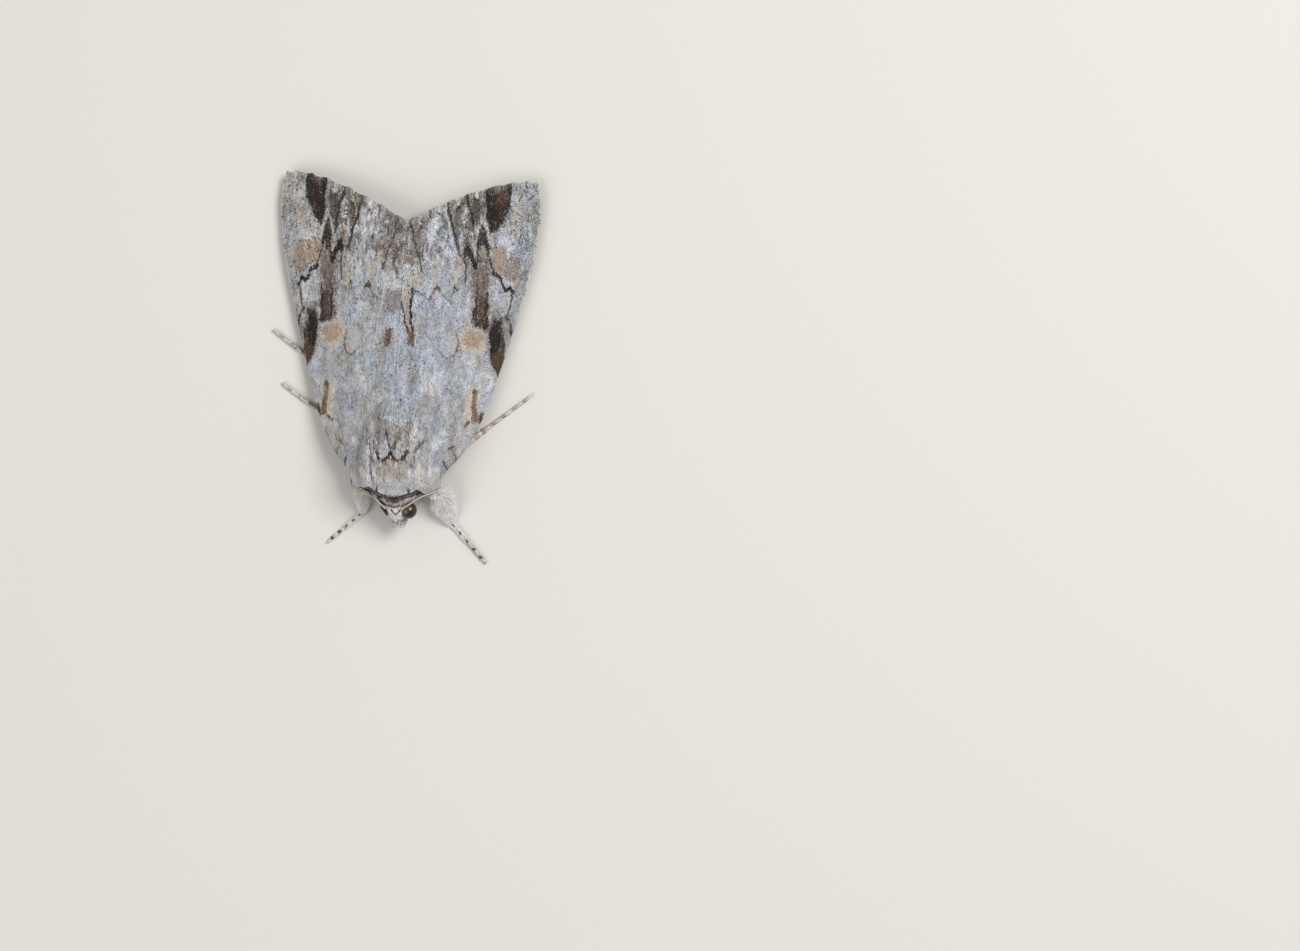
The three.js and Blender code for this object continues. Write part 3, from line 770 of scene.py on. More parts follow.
def seam(side, y):
    """Where a wing's inner edge runs: the left wing lies a little over the right one."""
    return side * SEAM_SHIFT * step(y, -6, 2) - SEAM_LAP


def outer_margin(x):
    """The rear edge: y rises from the inner corner to the apex along a bent curve."""
    return TORNUS + (APEX - TORNUS) * (1 - np.maximum(0, 1 - x / MARGIN_REACH) ** MARGIN_BEND)


def roof(x, y):
    """Height of the wings' upper side: from the ridge to the eaves by the share across, bent."""
    across = np.minimum(1, np.abs(x) / leading_edge(y))
    return eave_height(y) + (ridge_height(y) - eave_height(y)) * (1 - across ** ROOF_BEND)


print("ridge and eaves beside the round spots:", ridge_height(0.0), eave_height(0.0), "mm")


# %% Trunk profiles
# Half width, top and bottom of thorax, abdomen and head along the body, as in the solids, with a
# waist and a neck between them.
FACE_FRONT, TAIL_TIP = -22.4, 10.6
body_half = through(
    (-22.4, 0.55), (-21.8, 1.25), (-21, 1.8), (-19.8, 2.15), (-19.2, 2.2), (-18.8, 3.4), (-18, 4.6),
    (-15, 4.85), (-12, 4.7), (-9.5, 4.1), (-7.8, 3.1), (-6.9, 2.4), (-6.2, 3.0), (-4, 3.5), (0, 3.3),
    (4, 2.8), (7.5, 1.9), (9.8, 1.0), (10.6, 0.35))
body_top = through(
    (-22.4, 3.9), (-21.8, 4.6), (-21, 5.2), (-19.8, 5.85), (-19.2, 5.9), (-18.8, 6.4), (-17.5, 8.0),
    (-15, 9.0), (-12.5, 9.3), (-10, 9.2), (-8, 8.7), (-6.9, 7.3), (-6.2, 6.8), (-3, 6.6), (0, 5.9),
    (4, 4.7), (8, 3.2), (10, 2.1), (10.6, 1.6))
body_bottom = through(
    (-22.4, 3.0), (-21.8, 2.5), (-21, 2.1), (-19.8, 1.9), (-18.9, 2.3), (-17.5, 1.7), (-15, 0.95),
    (-12, 0.75), (-8, 0.8), (-6.7, 1.6), (-6.2, 1.3), (-3, 0.7), (2, 0.45), (8, 0.4), (10, 0.6),
    (10.6, 1.1))
THORAX_SQUARENESS, THORAX_BACK = 2.3, -6.6


def shoulder_line(y):
    """How far out the thorax rises above the wings' roof at y: 0 where it doesn't."""
    x = np.linspace(0, 6, 121)[None]
    y = y[:, None]
    middle, half = (body_top(y) + body_bottom(y)) / 2, (body_top(y) - body_bottom(y)) / 2
    share = np.clip(1 - (x / body_half(y)) ** THORAX_SQUARENESS, 0, 1) ** (1 / THORAX_SQUARENESS)
    above = (middle + half * share > roof(x, y)) & (x < body_half(y)) & (y < THORAX_BACK)
    return np.where(above, x, 0).max(1)


print("at y = -15 the thorax rises out of the wings up to x =", shoulder_line(np.array([-15.0]))[0])


# %% Veins, fluting and scallops
VEINS = [
    [(0.5, 15.3), (1.2, 12.5), (2.3, 8.5), (3.2, 0), (3.7, -10)],
    [(3, 17), (3.8, 14), (4.7, 9), (5.2, 4), (5.4, -3), (4.9, -12)],
    [(4.9, 18), (5.8, 15), (6.9, 11), (6.6, 4), (5.4, -3)],
    [(7.1, 19), (8, 16.5), (8.7, 13), (8.3, 4), (6.4, -3), (5.2, -11)],
    [(10.2, 19.9), (10.5, 15), (9.9, 8), (9.5, 3)],
    [(12.2, 20.2), (12.6, 17), (12, 10), (10.8, 3), (8.6, -6), (6, -14)],
    [(14, 20.4), (14.3, 15), (13.2, 7), (11.5, -1)],
    [(15.4, 20.4), (15.3, 14), (14, 6), (12.2, -1), (9.2, -9), (6, -15.5)],
]
VEIN_HEIGHT, VEIN_WIDTH, BILLOW, SCALLOP = 0.09, 0.16, 0.05, 0.22
MARGIN_VEINS = np.array([vein[0][0] for vein in VEINS])


def fluting(x, y):
    """Height that the veins add: a smooth ridge over each, exp(-(distance / width) squared),
    and the membrane's slight billows."""
    total = np.zeros(x.shape)
    for vein in VEINS:
        distance, share = to_line(x, y, vein)
        total = np.maximum(total, np.exp(-(distance / VEIN_WIDTH) ** 2) * (1 - 0.5 * share))
    return VEIN_HEIGHT * total + BILLOW * noise(x * 0.9, y * 0.18, 0.9, 11)


def scallops(x):
    """How far the margin draws in between two veins: a half sine from vein to vein."""
    place = np.interp(x, MARGIN_VEINS, np.arange(len(MARGIN_VEINS)))
    return SCALLOP * np.sin(np.pi * (place % 1))


print("veins:", len(VEINS))


# %% A forewing's upper and lower grid
WING_ROWS, WING_COLUMNS = 230, 110
FRINGE_REACH, EDGE_INSET, SCALE_DEPTH = 0.62, 0.1, 0.13
SHOULDER_COVER = 0.8  # how far the wing's root reaches in under the shoulder
EDGE_FALL, EDGE_STRIP = 0.16, 0.35  # the leading edge is rolled down
UNDER_FALL, UNDER_STRIP = 0.1, 0.7  # the right wing dips under the left one
MEMBRANE, EDGE_THICKENING = 0.14, 0.12


def forewing_grid(side):
    """Places (along x across): y runs from the shoulder to the margin, x from the seam (or from
    inside the shoulder) to the leading edge, z is the roof with the veins on it."""
    a, s = np.meshgrid(np.linspace(0, 1, WING_COLUMNS), np.linspace(0, 1, WING_ROWS))
    reach = a * leading_edge(np.float64(APEX))
    rear = outer_margin(reach) - FRINGE_REACH - scallops(reach)
    y = WING_FRONT + (rear - WING_FRONT) * s
    column = np.linspace(WING_FRONT, APEX, 400)
    inside = np.maximum(shoulder_line(column) - SHOULDER_COVER, 0)
    inside = np.convolve(inside, np.ones(9) / 9, "same")
    start = np.maximum(seam(side, y), np.interp(y, column, inside))
    edge = leading_edge(y) - EDGE_INSET
    x = start + (edge - start) * a
    z = roof(x, y) - SCALE_DEPTH + fluting(x, y)
    z -= EDGE_FALL * step(x, edge - EDGE_STRIP, edge)
    z -= UNDER_FALL * (side < 0) * (1 - step(x, start, start + UNDER_STRIP))
    top = np.stack([side * x, y, z], -1)
    return top, top - (0, 0, 1) * (MEMBRANE + EDGE_THICKENING * step(a, 0.9, 0.99))[..., None]


# %% The forewing's colour at any place
WING_SEED, BODY_SEED = 40, 71
WARM = np.array([1, 0.2, -1])  # what a warmer tone adds to red, green and blue


def mark_slip(side, x, y):
    """How far the wing's marks lie outwards of their places in the lists: the two wings differ."""
    if side < 0:
        return 0.55 * step(y, 2, 11) * (1 - 0.5 * step(x, 10, 11)) + 0.35 * step(y, 12, 19)
    return -0.35 * step(y, 6, 13) * (1 - step(x, 9.8, 11.5))


def wing_colour(side, x, y, grain):
    """Base colour and soft zones, then streaks like cracks and lichen on bark, then the sharp
    marks at slightly waved places, and a cream line along the rear of the leading edge."""
    seed = WING_SEED + side
    x = np.abs(x)
    wave_x, wave_y = (0.12 * noise(x, y, 0.8, seed + k) for k in (1, 2))
    mark_x, mark_y = x - mark_slip(side, x, y) + wave_x, y + wave_y * 1.4
    fan = x / leading_edge(y) * 15
    tone = 0.06 * noise(fan, y / 5, 0.25, seed + 3) + 0.1 * noise(x, y / 1.4, 0.35, seed + 4)
    tone += 0.09 * noise(x, y / 2, 1.0, seed + 9)
    crack, lichen = noise(fan, y / 3, 0.25, seed + 5), noise(x, y / 1.5, 0.35, seed + 6)
    bark = step(y, 7, 12) * (1 - step(x, 10, 12))
    tone += bark * (0.32 * np.minimum(crack, 0.2) + 0.22 * np.minimum(lichen, 0.2))
    colour = painted(plain(WING_PALE, len(x)), WING_ZONES, mark_x, mark_y, grain)
    colour *= 1 + tone[:, None]
    sharp = WING_BANDS + SEAM_MARKS[side] + WING_LINES
    colour = painted(colour, sharp, mark_x, mark_y, np.roll(grain, 31))
    warm = 0.025 * noise(x, y, 2.2, seed + 7) + 0.02 * noise(x, y / 4, 0.5, seed + 8)
    colour *= 1 + (warm + 0.008 * (side < 0))[:, None] * WARM
    cream = 0.75 * step(y, 3, 8) * (1 - step(leading_edge(y) - x, 0.2, 0.35))
    return mixed(colour, "#CFC6B6", cream[:, None])


def dark_share(x, y, seed):
    """Share of dark scales: few in the disc, many towards the margin and the seam, in clusters."""
    x = np.abs(x)
    share = 0.05 + 0.13 * step(y, 6, 13) * (1 - 0.6 * step(x, 4, 5) * (1 - step(x, 6.5, 7.5)))
    share += 0.14 * step(x, 6, 7) * (1 - step(x, 10, 11)) * step(y, 8, 11)
    share += 0.06 * (1 - step(x, 1.5, 4)) * step(y, -8, -2) + 0.05 * step(x, 12, 14)
    cluster = 0.7 + 0.9 * noise(x, y / 1.3, 0.4, seed) + 0.6 * noise(x, y / 2, 1.1, seed + 1)
    return share * np.clip(cluster, 0.1, 2.2)


def peppered(colour, seed, spread=0.06, dark=0.05, light=0.06):
    """Gives each scale its own brightness, and makes a few of them dark or frosted."""
    rng = np.random.default_rng(seed)
    colour = colour * (1 + spread * rng.standard_normal(len(colour)))[:, None]
    kind = rng.random(len(colour))
    shade = rng.uniform(0.4, 0.7, (len(colour), 1))
    colour = np.where((kind < dark)[:, None], colour * shade, colour)
    frosted = mixed(colour, "#D4D4D6", 0.9 * colour.mean(1, keepdims=True) - 0.05)
    return np.where((kind > 1 - light)[:, None], frosted, colour)


# %% Forewings: membranes
# Painted shade: skin seen between the scales of wings, palps and legs is drawn darker than the scales, as
# if in their shade.
SKIN_SHADE = 0.85  # skin is a little darker than the scales on it
UNDERSIDE_BANDS = marks("""
patch B9B1A4 .5 .8  1,5 1,8 15.5,9 15,5
patch B0A899 .5 .7  1,-3 1,.5 13,1 12,-3
""")

wing_grids = {}
for word, side in SIDES.items():
    top, bottom = forewing_grid(side)
    wing_grids[word] = top
    x, y, _ = top.reshape(-1, 3).T
    even = np.full(x.size, 0.5)
    upper = wing_colour(side, x, y, even)
    lower = painted(plain("#5B534B", x.size), UNDERSIDE_BANDS, np.abs(x), y, even)
    make_piece(f"forewing_{word}_membrane", *slab(top, bottom), wing_membrane, "forewing_scales",
               np.concatenate([upper * SKIN_SHADE, lower]), replaces=[f"forewing_{word}"])

# %% [markdown]
# Each forewing then gets its scales, every one a closed flake a quarter of a millimetre long.
# Real ones are smaller and many times more; these are as coarse as they need to be to show. They
# lie in the direction of the veins with their free ends towards the margin, and longer ones make
# the fringe.

# %% Forewings: scales
SCALES_PER_HALF = 18600  # of the front or the rear half of a wing
MIDDLE_ROW = 118
TO_ITS_MIDDLE = 0.12  # mm from a scale's root to the place that gives its colour
BAKE_LENGTH, BAKE_WIDTH = 39, 17  # mm of wing that fill the bake map


def wing_coat(side, grid, count, seed, first_row):
    """Scales on the rows of a wing's grid from `first_row` on."""
    rng = np.random.default_rng(seed)
    place, normal, along, across, u, v = scatter(grid, count, seed, closed=False)
    grain = rng.random(count)
    x, y, _ = (place + along * TO_ITS_MIDDLE).T
    colours = peppered(wing_colour(side, x, y, grain), seed + 1, dark=dark_share(x, y, 60 + side))
    lie = along + across * rng.normal(0, 0.14, (count, 1))
    return repeat_shape(
        FLAKE, place, upward(normal), lie, rng.uniform(0.2, 0.28, count),
        rng.uniform(0.12, 0.17, count), rng.uniform(0.06, 0.14, count), colours,
        (first_row + u * len(grid)) / WING_ROWS, v)


def bake_place(place):
    """Where a place of the wings lies on the bake map: its shares along and across the wing."""
    return (place[:, 1] - WING_FRONT) / BAKE_LENGTH, np.abs(place[:, 0]) / BAKE_WIDTH


def wing_rim(side, strip, count, seed, length, lean):
    """Longer, narrower scales along an edge: the fringe, and the soft line of the seam."""
    rng = np.random.default_rng(seed)
    place, normal, along, across, _, _ = scatter(strip, count, seed, closed=False)
    colours = wing_colour(side, place[:, 0], place[:, 1], rng.random(count))
    colours = peppered(colours * 0.85 + 0.1, seed + 3, 0.05, 0.1, 0.1)
    lie = along + across * (lean + rng.normal(0, 0.06, (count, 1)))
    return repeat_shape(
        FLAKE, place, upward(normal), lie, rng.uniform(*length, count),
        rng.uniform(0.09, 0.13, count), rng.uniform(-0.05, 0.1, count), colours, *bake_place(place))


for word, side in SIDES.items():
    grid = wing_grids[word]
    halves = ("front", 0, grid[:MIDDLE_ROW + 1]), ("rear", MIDDLE_ROW, grid[MIDDLE_ROW:])
    for half, first_row, part in halves:
        sets = [wing_coat(side, part, SCALES_PER_HALF, 100 + side + first_row, first_row),
                wing_rim(side, part[:, :2], 300, 130 + side + first_row, (0.22, 0.34), -0.5)]
        if half == "rear":
            sets.append(wing_rim(side, part[-3:], 960, 140 + side, (0.53, 0.66), 0.0))
        plant(f"forewing_{word}_scales_{half}", sets, wing_scales, "forewing_scales")

# %% [markdown]
# ## The hindwings
# Folded under the forewings, beside the abdomen, lie the black-brown hindwings with their white
# fringe. Only a low view from behind sees their edges, so a plain slab with a fringe is enough.

# %% Hindwings
HIND_FRONT, HIND_MARGIN_GAP, LAYER_DROP, HIND_THICK = -9.5, 2.9, 0.78, 0.12
HIND_MARGIN = 2, 12.4  # x on the forewing's margin that the hindwing's own margin follows
PLEATS, PLEAT_DEPTH = 7, 0.05
hind_inner = through((-9.5, 3.6), (-6, 3.9), (0, 3.7), (8, 2.7), (14, 1.7))
hind_outer = through((-9.5, 5.2), (-6, 8.4), (0, 11.0), (8, 13.0), (14, 13.3), (18, 12.6))
matt_black_scales = scale_finish("matt_black_brown_scales", 0.8, 0.2, 0.25, 0.05)  # dark and dull


def hindwing_grid(side, rows=90, columns=40):
    """As the forewing: between its inner and outer edge, one layer below the roof, pleated
    along its length like a closed fan."""
    a, s = np.meshgrid(np.linspace(0, 1, columns), np.linspace(0, 1, rows))
    start, end = HIND_MARGIN
    y = HIND_FRONT + (outer_margin(start + (end - start) * a) - HIND_MARGIN_GAP - HIND_FRONT) * s
    x = hind_inner(y) + (hind_outer(y) - hind_inner(y)) * a
    z = roof(x, y) - LAYER_DROP + PLEAT_DEPTH * (np.cos(2 * PLEATS * np.pi * a) - 1)
    return np.stack([side * x, y, z], -1)


for word, side in SIDES.items():
    top = hindwing_grid(side)
    points, faces = slab(top, top - (0, 0, HIND_THICK))
    band = step(points[:, 1], 2, 4) * (1 - step(points[:, 1], 7, 9))
    colours = mixed(srgb("#27211D"), "#4A423A", 0.4 * band[:, None])
    make_piece(f"hindwing_{word}_membrane", points, faces, matt_black_scales, "hindwing_scales",
               colours, replaces=[f"hindwing_{word}"])
    place, normal, along, across, _, _ = scatter(top[-3:], 520, 61 + side, closed=False)
    rng = np.random.default_rng(63 + side)
    n = len(place)
    white = np.where(rng.random((n, 1)) < 0.75, srgb("#CFC9BE"), srgb("#55483C"))
    fringe = repeat_shape(
        FLAKE, place, upward(normal), along + across * rng.normal(0, 0.12, (n, 1)),
        rng.uniform(0.45, 0.8, n), 0.12, rng.uniform(-0.08, 0.05, n), white, *bake_place(place))
    plant(f"hindwing_{word}_fringe", [fringe], matt_black_scales, "hindwing_scales")

# %% [markdown]
# ## Trunk and head: one skin
# Head, thorax and abdomen are one body under the coat, so one closed surface runs from the face
# to the tail tip. Its sections are rounded rectangles (superellipses) between two heights. It
# stays inside the solids by the depth of the hair, and carries the crest, two raised lobes on
# the thorax whose front edges stand up, and the groove along each shoulder flap. The solids
# themselves could be smoothed and joined, but rings between profiles leave no seam at the neck.

# %% Body surface
coat_depth = through((-22.4, 0.18), (-19.4, 0.25), (-18.4, 0.35), (-8, 0.35), (-6.5, 0.3), (10.6, 0.12))
body_squareness = through((-20, 2.0), (-18, 2.3), (-8, 2.3), (-6, 2.1))
SHOULDER_GROOVE = [(2.5, -17.4), (2.65, -16), (2.75, -14), (2.9, -12.6), (3.3, -11.2)]
HEAD_LEAN, HEAD_AXIS, HEAD_ASIDE = np.radians(10), 5.0, 0.15
BODY_SIDES = 110
LOBE_AT, LOBE_WIDTH, GROOVE_WIDTH, VALLEY_WIDTH = 0.95, 0.72, 0.2, 0.28


def leaned(points, share=1.0):
    """The head leans over: points turn about a line along the body, and shift a little."""
    x, y, z = np.moveaxis(np.asarray(points, float), -1, 0)
    a = HEAD_LEAN * share
    return np.stack([x * np.cos(a) - (z - HEAD_AXIS) * np.sin(a) + HEAD_ASIDE * share, y,
                     HEAD_AXIS + x * np.sin(a) + (z - HEAD_AXIS) * np.cos(a)], -1)


def back_relief(x, y):
    """Height of crest, grooves and shoulder flaps over the plain back."""
    x = np.abs(x)
    hill = lambda distance, width: np.exp(-(distance / width) ** 2)
    lobe = hill(x - LOBE_AT, LOBE_WIDTH) * step(y, -15.0, -14.35) * (1 - step(y, -14.1, -11.0))
    groove = hill(to_line(x, y, SHOULDER_GROOVE)[0], GROOVE_WIDTH)
    flap = step(x, 2.7, 3.2) * step(y, -18, -17) * (1 - step(y, -11.5, -10))
    valley = hill(x, VALLEY_WIDTH) * step(y, -14.4, -13.6) * (1 - step(y, -12.4, -11))
    return 0.2 * lobe - 0.2 * groove + 0.12 * flap - 0.25 * valley


def body_grid():
    """Rings from face to tail: x is the half width times the cosine, z the half height times the
    sine, each to the power 2 / squareness."""
    y = np.concatenate([np.linspace(FACE_FRONT, -17, 60), np.linspace(-16.9, TAIL_TIP, 130)])[:, None]
    turn = around(BODY_SIDES)[None]
    power = 2 / body_squareness(y)
    rounded = lambda v: np.sign(v) * np.abs(v) ** power
    depth = coat_depth(y)
    x = (body_half(y) - depth) * rounded(np.cos(turn))
    middle, half = (body_top(y) + body_bottom(y)) / 2, (body_top(y) - body_bottom(y)) / 2 - depth
    z = middle + half * rounded(np.sin(turn))
    y = y + 0 * x
    z = z + back_relief(x, y) * step(np.sin(turn), 0.1, 0.5)
    return leaned(np.stack([x, y, z], -1), (1 - step(y, -20.4, -18.8)))


# %% Colours of the body
BODY_PALE, BELLY, FACE = "#BAB6B4", "#9A8F84", "#E2DEDD"

# The crest's M in BODY_MARKS, two near-black lines near y -14.5, is dark scales together with painted shade
# under the lobes' raised front edges.
BODY_MARKS = marks("""
patch A3A3A5 .6 .8  -5,-5 5,-5 5,-9 2,-10.2 -2,-10.2 -5,-9
patch BBBBBD .5 .75  -5.4,-19.8 5.6,-19.8 5.4,-17 -5.2,-17
patch 988C84 .4 .6  -2,-17 2,-17 2.2,-14.8 -2.2,-14.8
patch 8D9197 .5 .62  -2.6,-6 2.6,-6 2.4,-10 2.1,-13.6 -2.1,-13.6 -2.4,-10
patch 827873 .3 .5  -2.6,-7 -.8,-7 -.9,-9.6 -2.4,-9.8
line 7A7169 .7 .25 .5  2.1,-10.4 2,-12.8
patch 756E69 .3 .6  -1.9,-9.6 -.6,-9.6 -.5,-12.2 -.9,-13.2 -1.9,-13
patch 756E69 .3 .55  .9,-10.6 2.2,-10.6 2.1,-13 1.1,-13.2
line 94857A .45 .18 .65  .95,-17.2 .9,-15.1
line 94857A .45 .18 .65  -.75,-17.2 -.7,-15.1
line BABABD .7 .25 .6  2.9,-10.5 2.5,-14
line BABABD .7 .25 .6  -2.9,-10.5 -2.5,-14
line 54504E .2 .08 .75  -2.4,-17.4 -2.6,-16 -2.65,-14 -2.85,-12.6
line 5E5957 .18 .08 .55  2.6,-16 2.75,-14 2.95,-13.2
line 5E4540 .35 .12 .7  3,-13.4 3.6,-12.4 4.1,-11.9
line 6B4A42 .3 .12 .5  -3.1,-13 -3.5,-12
patch B3B7BC .2 .75  -1.7,-13.9 -1.2,-14.6 -.5,-14.4 0,-13.7 .5,-14.4 1.2,-14.5 1.7,-13.9 1.5,-12.6 .6,-12.3
  0,-12.9 -.6,-12.3 -1.5,-12.6
line 77706C .7 .25 .65  -2.05,-11.4 -1.95,-13.2
spot 85705E .9 .25 .6  -1.7,-11
line 6E5C4A .45 .12 .75  .95,-11 .65,-12.2 .15,-13.2
line 3B2D2E .22 .12 .7  -.8,-11.1 -.5,-12.4 -.15,-13.4
line AEBCC6 .5 .2 .6  -.9,-9.6 .8,-9.9
line 281A17 .42 .08 .97  -1.85,-13.95 -1.6,-14.7 -1.05,-14.85 -.55,-14.6 -.12,-13.9
line 281A17 .38 .08 .95  -.02,-14.1 .38,-14.65 .9,-14.65 1.4,-14.4 1.85,-13.5
spot 43352D .6 .15 .7  1.75,-13.8
spot 3A2117 .6 .12 .95  -.25,-7.1
line 5C4333 .5 .15 .8  -4.2,-18.6 -2.9,-18.6
line 1E1816 .12 .3 .08 .9  1.95,-18.35 2,-18.8
line 1E1816 .12 .3 .08 .9  -1.9,-18.35 -1.95,-18.8
""")
HEAD_MARKS = marks("""
line 8F8A87 .5 .2 .5  -1.1,-21.2 -.5,-22.4
line 433339 .75 .12 .9  -3.6,-18.9 -1.6,-19.3 .05,-19.75 1.8,-19.25 3.4,-18.9
spot 5A383B .8 .2 .6  .6,-19.75
line AE9F9C .3 .08 .85  -2.2,-19.55 -1.2,-19.95 .1,-20.35 1.3,-20 2.6,-19.5
line 342A2A .2 .07 .85  -2.4,-19.75 -1.2,-20.2 .1,-20.62 1.3,-20.28 2.8,-19.7
line 554C49 .17 .07 .8  -.3,-20.9 .35,-21.5 1.2,-20.8
spot C6CBC6 .6 .15 .7  1.4,-21
line D4CDC9 .22 .07 .85  1.1,-20.9 1.7,-20.55 2.6,-20.05
line 6A5F58 .14 .06 .6  .2,-22.9 .75,-22.2
""")
print("marks of the back and head:", len(BODY_MARKS + HEAD_MARKS))


def body_colour(x, y, z, grain):
    """Pale grey-brown hair above, browner below and on the abdomen, then the marks of the back."""
    colour = plain(BODY_PALE, len(x))
    low = 1 - step(z, body_bottom(y) + 1, body_bottom(y) + 3.5)
    colour = mixed(colour, BELLY, np.maximum(low * 0.6, step(y, -7.5, -5.5))[:, None])
    tone = 0.16 * noise(x, y / 3, 0.3, BODY_SEED) + 0.12 * noise(x, y / 1.5, 0.7, BODY_SEED + 1)
    warm = 0.04 * noise(x, y / 2, 0.8, BODY_SEED + 3)[:, None] * WARM
    colour *= 1 + tone[:, None] + warm
    face = (1 - step(y, -20.9, -20.2)) * step(z, 2.6, 3.2)
    colour = mixed(colour, FACE, face[:, None])
    wave = 0.08 * noise(x, y, 0.7, BODY_SEED + 2)
    top = z > (body_bottom(y) + body_top(y)) / 2
    head = y < -19.0
    colour[top] = painted(colour[top], BODY_MARKS, x[top] + wave[top], y[top], grain[top])
    colour[head] = painted(colour[head], HEAD_MARKS, x[head], y[head], grain[head])
    return colour


# %% Body skin
# Painted shade: the body's skin is drawn darker, as if in the shade of its hair.
BODY_SKIN_SHADE = 0.72
body = body_grid()
points, faces = tube(body)
colours = body_colour(*points.T, np.full(len(points), 0.5)) * BODY_SKIN_SHADE
make_piece("body_skin", points, faces, body_skin, "fur", colours, replaces=["head", "thorax", "abdomen"])

# %% [markdown]
# ## The coat of the body
# Thorax and head wear long narrow scales that lie like thatch, with finer loose hairs between
# them. Behind a parting across the thorax they are combed back, and in front of it they point
# forward, as on the face. On the underside they are fewer. Each is rooted on the skin and bends
# back to it. A hair system could comb them too, but the export keeps only meshes, and here one
# formula does it.

# %% Coat of thorax, head and abdomen
ring_y = body[:, 0, 1]
SNOUT = np.array([0.4, -23.6, 2.9])  # the face's hair runs together here
EYES = {"left": leaned([1.6, -20.98, 3.85]), "right": leaned([-1.2, -20.45, 3.6])}
EYE_RADIUS = 1.06
PARTING, PARTING_SLANT, PARTING_MIX = -14.8, 0.9, 0.32


def towards_wing(x, y):
    """Share of the wing's colour on the thorax: it grows to one at the line where they meet."""
    beside = step(np.abs(x), shoulder_line(y) - 1.5, shoulder_line(y) - 0.3)
    return np.maximum(beside * step(y, -17.5, -15.5), step(y, -9.3, -7.8))


def coat(kind, reach, count, seed, length, width, lift, droop, share_below=0.35):
    """Scales or hairs on the rows of the body between two places y. The upper side gets most
    of them, and what would grow through an eye is left out."""
    first, last = (min(int(np.searchsorted(ring_y, y)), len(body) - 1) for y in reach)
    rows = body[first:last]
    upper = step(rows[..., 2], body_bottom(rows[..., 1]) + 1, body_bottom(rows[..., 1]) + 4)
    found = scatter(rows, count, seed, share=(share_below + (1 - share_below) * upper)[:-1])
    rng = np.random.default_rng(seed + 1)
    near = [np.linalg.norm(found[0] - centre, axis=1) for centre in EYES.values()]
    clear = np.minimum(*near) > EYE_RADIUS + 0.02
    place, normal, along, across, u, v = (a[clear] for a in found)
    x, y, z = place.T
    n = len(place)
    parting = PARTING - PARTING_SLANT * np.maximum(np.abs(x) - 2, 0) + 0.25 * noise(x, y, 0.35, 206)
    forward = (y < parting + rng.uniform(-PARTING_MIX, PARTING_MIX, n))[:, None]
    lie = along * (1 - 2 * forward) + across * rng.normal(0, 0.1, (n, 1))
    face = (1 - step(y, -21.4, -20.4))[:, None]
    lie = unit(lie) * (1 - face) + unit(SNOUT - place) * face
    size = length * rng.uniform(0.8, 1.2, n)
    tip_x, tip_y, _ = (place + unit(lie) * 0.6 * size[:, None]).T
    grain = rng.random(n)
    colours = body_colour(tip_x, tip_y, z, grain)
    for side in (-1, 1):
        here = np.flatnonzero((side * tip_x > 0) & (y > -17.5) & (z > 5))
        wing = wing_colour(side, tip_x[here], tip_y[here], grain[here])
        colours[here] += (wing - colours[here]) * towards_wing(tip_x[here], tip_y[here])[:, None]
    colours = peppered(colours, seed + 2, 0.07, 0.07, 0.06)
    return repeat_shape(
        kind, place, normal, lie, size, width * rng.uniform(0.8, 1.2, n),
        lift * rng.uniform(0.7, 1.3, n), colours, (first + u * (last - first)) / len(body), v,
        droop=droop, sway=rng.normal(0, 0.08, n))


COATS = {  # shape, from y to y, count, seed, length, width, lift, droop (and share below)
    "thorax_scales": (FLAKE, (-18.5, -6.9), 19000, 201, 0.48, 0.115, 0.13, 0.07),
    "thorax_hair": (HAIR, (-18.3, -7.2), 1500, 205, 0.7, 0.065, 0.18, 0.12),
    "head_scales": (FLAKE, (-22.4, -18.6), 5200, 211, 0.34, 0.085, 0.16, 0.08, 0.6),
    "head_hair": (HAIR, (-22.3, -20.2), 900, 215, 0.45, 0.05, 0.2, 0.12, 0.6),
    "abdomen_hair": (HAIR, (-6.9, 10.6), 2800, 221, 0.75, 0.14, 0.35, 0.22, 0.8),
}
for name, sizes in COATS.items():
    plant(name, [coat(*sizes)], body_hair, "belly" if name == "abdomen_hair" else "fur")

# %% [markdown]
# ## Collar and shoulder fringe
# Over the neck the collar's scales end along one clean edge, a shallow V with a hump on each
# side. Under it deeper layers look out, by turns dark and pale, down to the crown of the head.
# Every scale here is given by its two ends, because the tips alone make the clean edge.
# Beside the thorax the shoulder's longest scales lie out over the wings, so no joint shows.

# %% The collar's shape
collar_edge = through(
    (-5.4, -17.4), (-4.9, -18.0), (-4.3, -18.35), (-3.6, -18.35), (-3, -18.2), (-2, -18.7), (-1, -19.1),
    (0.05, -19.5), (1.2, -19.05), (2.5, -18.6), (3.1, -18.25), (3.9, -18.75), (4.4, -18.8),
    (5, -18.45), (5.6, -17.9))
COLLAR_FROM, COLLAR_TO = -5.35, 5.55
FLANK, FLANK_FALL = 0.97, 1.2  # share of the half width where the back ends, and the slope beyond
BODY_LENGTH, BODY_GIRTH = 33, 40  # mm of body that fill the bake map


def skin_height(x, y):
    """Height of the body's upper side, which falls off steeply beyond its widest part."""
    half = body_half(y) - coat_depth(y)
    t = np.minimum(np.abs(x) / half, FLANK)
    power = body_squareness(y)
    top, bottom = body_top(y) - coat_depth(y), body_bottom(y)
    height = (top + bottom) / 2 + (top - bottom) / 2 * (1 - t ** power) ** (1 / power)
    return height + back_relief(x, y) - FLANK_FALL * np.maximum(np.abs(x) - FLANK * half, 0)


def over_neck(x, y):
    """Height of the collar: it leaves the thorax just behind its edge, and falls more gently."""
    start = np.maximum(collar_edge(x) + 0.5, -18.2)
    free = skin_height(x, start) - 0.8 * (start - y)
    return np.where(y < start, np.maximum(free, skin_height(x, y)), skin_height(x, y))


